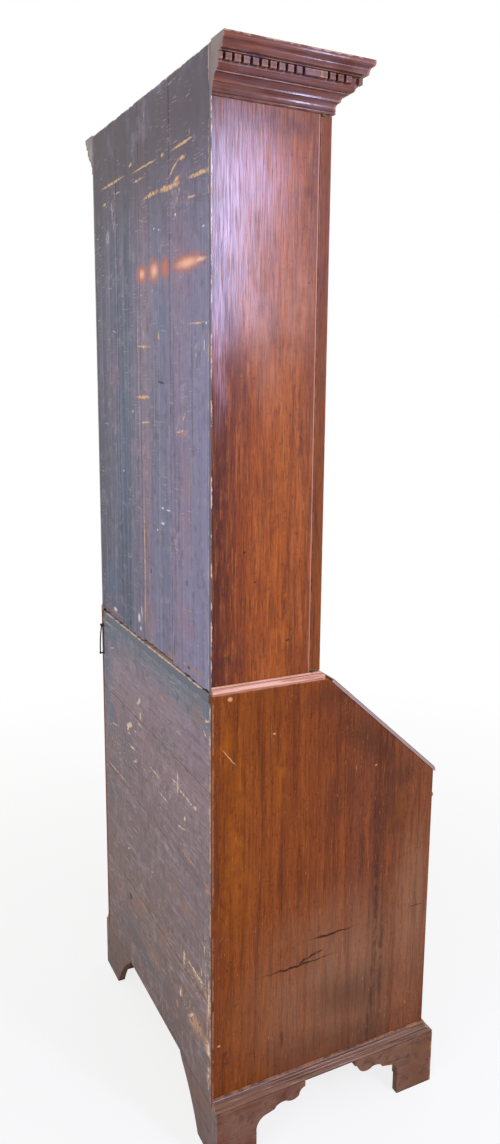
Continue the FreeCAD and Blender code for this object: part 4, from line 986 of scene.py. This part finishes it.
def piece_from(work, name, material, nodes, arris=0.0, steps=2):
    """Makes a mesh into a piece that stands for its nodes, with rubbed edges."""
    mesh = bpy.data.meshes.new(name)
    for face in work.faces:
        face.smooth = curved(face)
    work.to_mesh(mesh)
    work.free()
    mesh.materials.append(material)
    piece = bpy.data.objects.new(name, mesh)
    bpy.context.scene.collection.objects.link(piece)
    if arris:
        rounding = piece.modifiers.new("arris", "BEVEL")
        rounding.width = arris
        rounding.segments = steps
        rounding.limit_method = "ANGLE"
        rounding.angle_limit = sharp_angle
    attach(piece, node_body(nodes[0]))
    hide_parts(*nodes)
    return piece


def rubbed_copy(node, material, arris=None):
    """A copy of a node with its arrises rubbed round, as far as the polished edges unless told otherwise."""
    return piece_from(welded(node), node + "_rubbed", material, [node], arris or sizes().arris)


def paint(node, material):
    """Gives a node its finish and leaves its shape alone."""
    shape = frame["nodes"][node]
    if not shape.material_slots:
        shape.data.materials.append(material)
    for entry in shape.material_slots:
        entry.material = material


def slice_across(work, axis, step):
    """Cuts a mesh across an axis at even steps, so that its long edges can wear unevenly."""
    low, high = box_of(work.verts)
    normal = Vector((0, 0, 0))
    normal[axis] = 1
    count = int((high[axis] - low[axis]) / step)
    for index in range(1, count):
        bmesh.ops.bisect_plane(work, geom=work.verts[:] + work.edges[:] + work.faces[:],
                               plane_co=low + normal * step * index, plane_no=normal)


def worn_planks(node, pine, long_axis, step):
    """Back boards, a piece each, whose ends have splintered a little; pine lays up each one's material."""
    work = welded(node)
    boxes = [box_of(plank) for plank in islands(work)]
    work.free()
    for count, (low, high) in enumerate(sorted(boxes, key=lambda box: tuple(box[0])), 1):
        plank = welded(node)
        slice_across(plank, 2 - long_axis, step)
        others = [v for v in plank.verts if not inside(v.co, low, high)]
        bmesh.ops.delete(plank, geom=others, context="VERTS")
        splinter(plank, low, high, long_axis)
        piece_from(plank, f"{node}_{count}", pine(low, high, count).done(), [node], sizes().rough_arris)


def inside(point, low, high):
    return all(low[k] - weld_gap < point[k] < high[k] + weld_gap for k in range(3))


splinter_pitch = 90
upper_end_share = 0.5


def splinter(plank, low, high, long_axis):
    """Wears the ends of a plank back by an uneven amount."""
    wear = sizes().end_wear
    for vert in plank.verts:
        seed = vert.co * splinter_pitch
        grain = max(0.0, noise.noise(seed) + 0.5 * noise.noise(seed * 3))
        if vert.co[long_axis] < low[long_axis] + weld_gap:
            vert.co[long_axis] += grain * wear
        elif vert.co[long_axis] > high[long_axis] - weld_gap:
            vert.co[long_axis] -= grain * wear * upper_end_share


knob_profile_shares = ((0.0, 0.0), (0.86, 0.0), (0.8, 0.1), (0.42, 0.18), (0.4, 0.45), (0.62, 0.6),
                       (1.0, 0.7), (0.96, 0.84), (0.6, 0.96), (0.0, 1.0))
knob_turns = 24
knob_least_reach = 0.009
knob_most_width = 0.045


def turned_knob(work, low, high):
    """Spins a knob that fills a box, its rose on the box's back face."""
    centre = Vector(((low.x + high.x) / 2, high.y, (low.z + high.z) / 2))
    radius = (high.x - low.x) / 2
    reach = high.y - low.y
    profile = []
    for out, along in knob_profile_shares:
        profile.append(work.verts.new(centre + Vector((out * radius, -along * reach, 0))))
    edges = [work.edges.new(pair) for pair in zip(profile, profile[1:])]
    bmesh.ops.spin(work, geom=profile + edges, cent=centre, axis=(0, 1, 0), angle=FULL_CIRCLE,
                   steps=knob_turns, use_merge=True)


def turned_knobs(node, metal, wood=None):
    """Smooth brass knobs in the place of a node's knobs; what else it holds is copied with rubbed edges."""
    source = welded(node)
    knobs = bmesh.new()
    replaced = []
    for solid in islands(source):
        low, high = box_of(solid)
        if high.x - low.x < knob_most_width and high.y - low.y > knob_least_reach:
            turned_knob(knobs, low, high)
            replaced += solid
    bmesh.ops.remove_doubles(knobs, verts=knobs.verts, dist=weld_gap)
    bmesh.ops.recalc_face_normals(knobs, faces=knobs.faces)
    knob = piece_from(knobs, node + "_turned", metal, [node])
    smoothing = knob.modifiers.new("turned", "SUBSURF")
    smoothing.levels = 1
    smoothing.render_levels = 1
    bmesh.ops.delete(source, geom=replaced, context="VERTS")
    if not source.verts:
        source.free()
    elif wood:
        piece_from(source, node + "_body", wood, [node], sizes().fine_arris)
    else:
        piece_from(source, node + "_plate", metal, [node], sizes().metal_arris)

# Operators


floor_radius = 9.0
floor_sides = 96
floor_whiteness = 0.8
shadow_reach = (0.9, 2.6)
daylight = 0.62
lamps = (
    ("window", (-2.6, -0.74, 2.22), (-0.355, 0.23, 1.9), (0.24, 0.86), 47, "#c4ccff"),
    ("sky", (-2.6, -0.9, 2.5), (-0.355, 0.1, 1.9), (0.8, 0.9), 6, "#e2def4"),
    ("north_light", (-2.4, 3.4, 2.6), (0, 0.2, 1.1), (2.4, 2.4), 50, "#f6f0fa"),
    ("warm_fill", (-3.6, -3.0, 1.4), (0, 0, 0.8), (2.4, 2.4), 30, "#fff1e2"),
)


class BUREAU_OT_stage(bpy.types.Operator):
    """Sets up the pale floor, the soft lights and the camera."""
    bl_idname = "bureau.stage"
    bl_label = "Stage"

    def execute(self, context):
        scene = context.scene
        scene.view_settings.view_transform = "Standard"
        self.floor()
        self.world(scene)
        self.lights()
        self.camera(scene)
        return {"FINISHED"}

    def floor(self):
        work = bmesh.new()
        bmesh.ops.create_circle(work, cap_ends=True, segments=floor_sides, radius=floor_radius)
        mesh = bpy.data.meshes.new("floor")
        work.to_mesh(mesh)
        work.free()
        floor = bpy.data.objects.new("floor", mesh)
        bpy.context.scene.collection.objects.link(floor)
        surface = Finish("Pale floor", linear("#f2f1ef"), 0.8)
        white = surface.add("ShaderNodeEmission", {"Color": (1, 1, 1, 1)})
        distance = surface.add("ShaderNodeVectorMath", {0: surface.place}, operation="LENGTH").outputs[1]
        plain = surface.add("ShaderNodeMapRange", {"Value": distance, "From Min": shadow_reach[0],
                                                   "From Max": shadow_reach[1], "To Min": floor_whiteness})
        seen = surface.add("ShaderNodeLightPath").outputs["Is Camera Ray"]
        surface.done()
        mixed = surface.add("ShaderNodeMixShader", {0: surface.both(seen, plain.outputs[0]),
                                                    1: surface.shader.outputs[0], 2: white.outputs[0]})
        surface.tree.links.new(mixed.outputs[0], surface.tree.nodes["Material Output"].inputs["Surface"])
        mesh.materials.append(surface.material)

    def world(self, scene):
        world = bpy.data.worlds.new("soft daylight")
        scene.world = world
        world.use_nodes = True
        tree = world.node_tree
        background = tree.nodes["Background"]
        path = tree.nodes.new("ShaderNodeLightPath")
        seen = path.outputs["Is Camera Ray"]
        for name in ("Is Glossy Ray", "Is Transmission Ray"):
            either = tree.nodes.new("ShaderNodeMath")
            either.operation = "MAXIMUM"
            tree.links.new(seen, either.inputs[0])
            tree.links.new(path.outputs[name], either.inputs[1])
            seen = either.outputs[0]
        strength = tree.nodes.new("ShaderNodeMapRange")
        tree.links.new(seen, strength.inputs["Value"])
        strength.inputs["To Min"].default_value = daylight
        strength.inputs["To Max"].default_value = 1.0
        tree.links.new(strength.outputs[0], background.inputs["Strength"])
        background.inputs["Color"].default_value = (1, 1, 1, 1)

    def lights(self):
        for name, place, target, size, power, colour in lamps:
            data = bpy.data.lights.new(name, "AREA")
            data.shape = "RECTANGLE"
            data.size, data.size_y = size
            data.energy = power
            data.color = linear(colour)[:3]
            lamp = bpy.data.objects.new(name, data)
            bpy.context.scene.collection.objects.link(lamp)
            lamp.location = place
            aim = Vector(target) - Vector(place)
            lamp.rotation_euler = aim.to_track_quat("-Z", "Y").to_euler()

    def camera(self, scene):
        data = bpy.data.cameras.new("camera")
        camera = bpy.data.objects.new("camera", data)
        scene.collection.objects.link(camera)
        yaw, pitch, roll = (math.radians(a) for a in (eye_yaw, eye_pitch, eye_roll))
        forward = Vector((math.cos(pitch) * math.cos(yaw), math.cos(pitch) * math.sin(yaw), math.sin(pitch)))
        level = forward.cross(Vector((0, 0, 1))).normalized()
        upright = level.cross(forward)
        right = level * math.cos(roll) + upright * math.sin(roll)
        up = upright * math.cos(roll) - level * math.sin(roll)
        turn = Matrix((right, up, -forward)).transposed()
        camera.matrix_world = Matrix.Translation(eye) @ turn.to_4x4()
        data.sensor_width = film_width
        data.lens = focal_px * film_width / frame_px[1]
        data.shift_x = (frame_px[0] / 2 - centre_px[0]) / frame_px[1]
        data.shift_y = (centre_px[1] - frame_px[1] / 2) / frame_px[1]
        scene.camera = camera


upper_slice = 0.011
lower_slice = 0.03


class BUREAU_OT_backs(bpy.types.Operator):
    """Makes the stained pine backs, with their scars and splintered ends."""
    bl_idname = "bureau.backs"
    bl_label = "Back boards"

    def execute(self, context):
        worn_planks("bookcase_back_boards", upper_back_pine, 2, upper_slice)
        worn_planks("bureau_back_boards", lower_back_pine, 0, lower_slice)
        return {"FINISHED"}


class BUREAU_OT_case(bpy.types.Operator):
    """Dresses the sides, boards, blades and glued blocks of both carcases."""
    bl_idname = "bureau.case"
    bl_label = "Carcases"

    def execute(self, context):
        lower = finish(lower_side_mahogany)
        upper = finish(upper_side_mahogany)
        for side in ("left", "right"):
            rubbed_copy("bureau_side_" + side, lower)
            rubbed_copy("bookcase_side_" + side, upper)
        rubbed_copy("bureau_top", finish(top_mahogany))
        rubbed_copy("writing_board", finish(front_mahogany))
        inner = finish(inner_mahogany)
        for node in ("bookcase_top", "bookcase_bottom", "bookcase_shelves", "shelf_cleats"):
            paint(node, inner)
        pine = finish(raw_pine, "Pine, unfinished, bottom board and blocks", 0)
        for node in ("bureau_bottom", "foot_blocks"):
            paint(node, pine)
        paint("drawer_dividers", finish(faced_pine, "Pine faced with mahogany, drawer blades", 0))
        paint("loper_partitions", finish(faced_pine, "Pine faced with mahogany, partitions", 2))
        return {"FINISHED"}


class BUREAU_OT_mouldings(bpy.types.Operator):
    """Dresses the cornice, its dentils, the waist moulding and the plinth."""
    bl_idname = "bureau.mouldings"
    bl_label = "Mouldings"

    def execute(self, context):
        polished = finish(moulding_mahogany)
        for node in ("cornice_moulding", "cornice_ground", "cornice_dentils"):
            rubbed_copy(node, polished, sizes().fine_arris)
        rubbed_copy("plinth_moulding", finish(plinth_mahogany), sizes().fine_arris)
        rubbed_copy("waist_moulding", finish(waist_mahogany))
        return {"FINISHED"}


class BUREAU_OT_feet(bpy.types.Operator):
    """Dresses the bracket feet."""
    bl_idname = "bureau.feet"
    bl_label = "Feet"

    def execute(self, context):
        for side in ("left", "right"):
            rubbed_copy("front_foot_" + side, finish(foot_mahogany))
            rubbed_copy("rear_foot_" + side, finish(rear_foot_mahogany))
        return {"FINISHED"}


class BUREAU_OT_doors(bpy.types.Operator):
    """Dresses the panelled doors of the bookcase."""
    bl_idname = "bureau.doors"
    bl_label = "Doors"

    def execute(self, context):
        framing = finish(door_frame_mahogany)
        panels = finish(panel_mahogany)
        for side in ("left", "right"):
            rubbed_copy("door_frame_" + side, framing)
            rubbed_copy("door_panel_" + side, panels)
        return {"FINISHED"}


class BUREAU_OT_desk(bpy.types.Operator):
    """Dresses the fall, the lopers that carry it and the fitted interior."""
    bl_idname = "bureau.desk"
    bl_label = "Desk and interior"

    def execute(self, context):
        rubbed_copy("fall_board", finish(fall_mahogany))
        inner = finish(inner_mahogany)
        metal = finish(brass)
        for side in ("left", "right"):
            rubbed_copy("loper_" + side, inner)
            turned_knobs("small_drawer_" + side, metal, inner)
        turned_knobs("prospect_door", metal, inner)
        for node in ("pigeonhole_case", "pigeonhole_valances"):
            paint(node, inner)
        return {"FINISHED"}


drawer_numbers = (1, 2, 3, 4)


class BUREAU_OT_drawers(bpy.types.Operator):
    """Dresses the drawers of the bureau."""
    bl_idname = "bureau.drawers"
    bl_label = "Drawers"

    def execute(self, context):
        polished = finish(front_mahogany)
        linings = finish(raw_pine, "Pine, unfinished, drawer linings", 1)
        for number in drawer_numbers:
            rubbed_copy(f"drawer_{number}_front", polished)
            paint(f"drawer_{number}_box", linings)
        return {"FINISHED"}


class BUREAU_OT_metalwork(bpy.types.Operator):
    """Turns the knobs and dresses the keyhole plates, hinges, pivots and the back's iron pull."""
    bl_idname = "bureau.metalwork"
    bl_label = "Brass and iron"

    def execute(self, context):
        aged = finish(brass)
        unpolished = finish(dull_brass)
        for number in drawer_numbers:
            turned_knobs(f"drawer_{number}_brasses", aged)
        for side in ("left", "right"):
            turned_knobs("loper_knob_" + side, aged)
            paint("door_pivots_" + side, unpolished)
        for node in ("fall_hinge_leaves", "fall_hinge_plates", "door_pivot_plates"):
            paint(node, unpolished)
        for node in ("door_escutcheon", "fall_escutcheon"):
            rubbed_copy(node, aged, sizes().metal_arris)
        dark = finish(iron)
        for node in ("rear_pull_plate", "rear_pull_drop"):
            rubbed_copy(node, dark, sizes().metal_arris)
        return {"FINISHED"}


operators = (BUREAU_OT_stage, BUREAU_OT_backs, BUREAU_OT_case, BUREAU_OT_mouldings, BUREAU_OT_feet,
             BUREAU_OT_doors, BUREAU_OT_desk, BUREAU_OT_drawers, BUREAU_OT_metalwork)


class BUREAU_PT_panel(bpy.types.Panel):
    """Lists the pieces in the sidebar, with the sizes and colours that they read."""
    bl_idname = "BUREAU_PT_panel"
    bl_label = "Bureau bookcase"
    bl_space_type = "VIEW_3D"
    bl_region_type = "UI"
    bl_category = "Bureau"

    def draw(self, context):
        layout = self.layout
        for group in (context.scene.bureau_sizes, context.scene.bureau_colours):
            for name in group.__annotations__:
                layout.prop(group, name)
        for operator in operators:
            layout.operator(operator.bl_idname)


classes = (BureauSizes, BureauColours, *operators, BUREAU_PT_panel)


def register():
    for entry in classes:
        bpy.utils.register_class(entry)
    bpy.types.Scene.bureau_sizes = bpy.props.PointerProperty(type=BureauSizes)
    bpy.types.Scene.bureau_colours = bpy.props.PointerProperty(type=BureauColours)


def unregister():
    del bpy.types.Scene.bureau_colours
    del bpy.types.Scene.bureau_sizes
    for entry in reversed(classes):
        bpy.utils.unregister_class(entry)


def main():
    register()
    for operator in operators:
        family, name = operator.bl_idname.split(".")
        getattr(getattr(bpy.ops, family), name)()


if __name__ == "__main__":
    main()
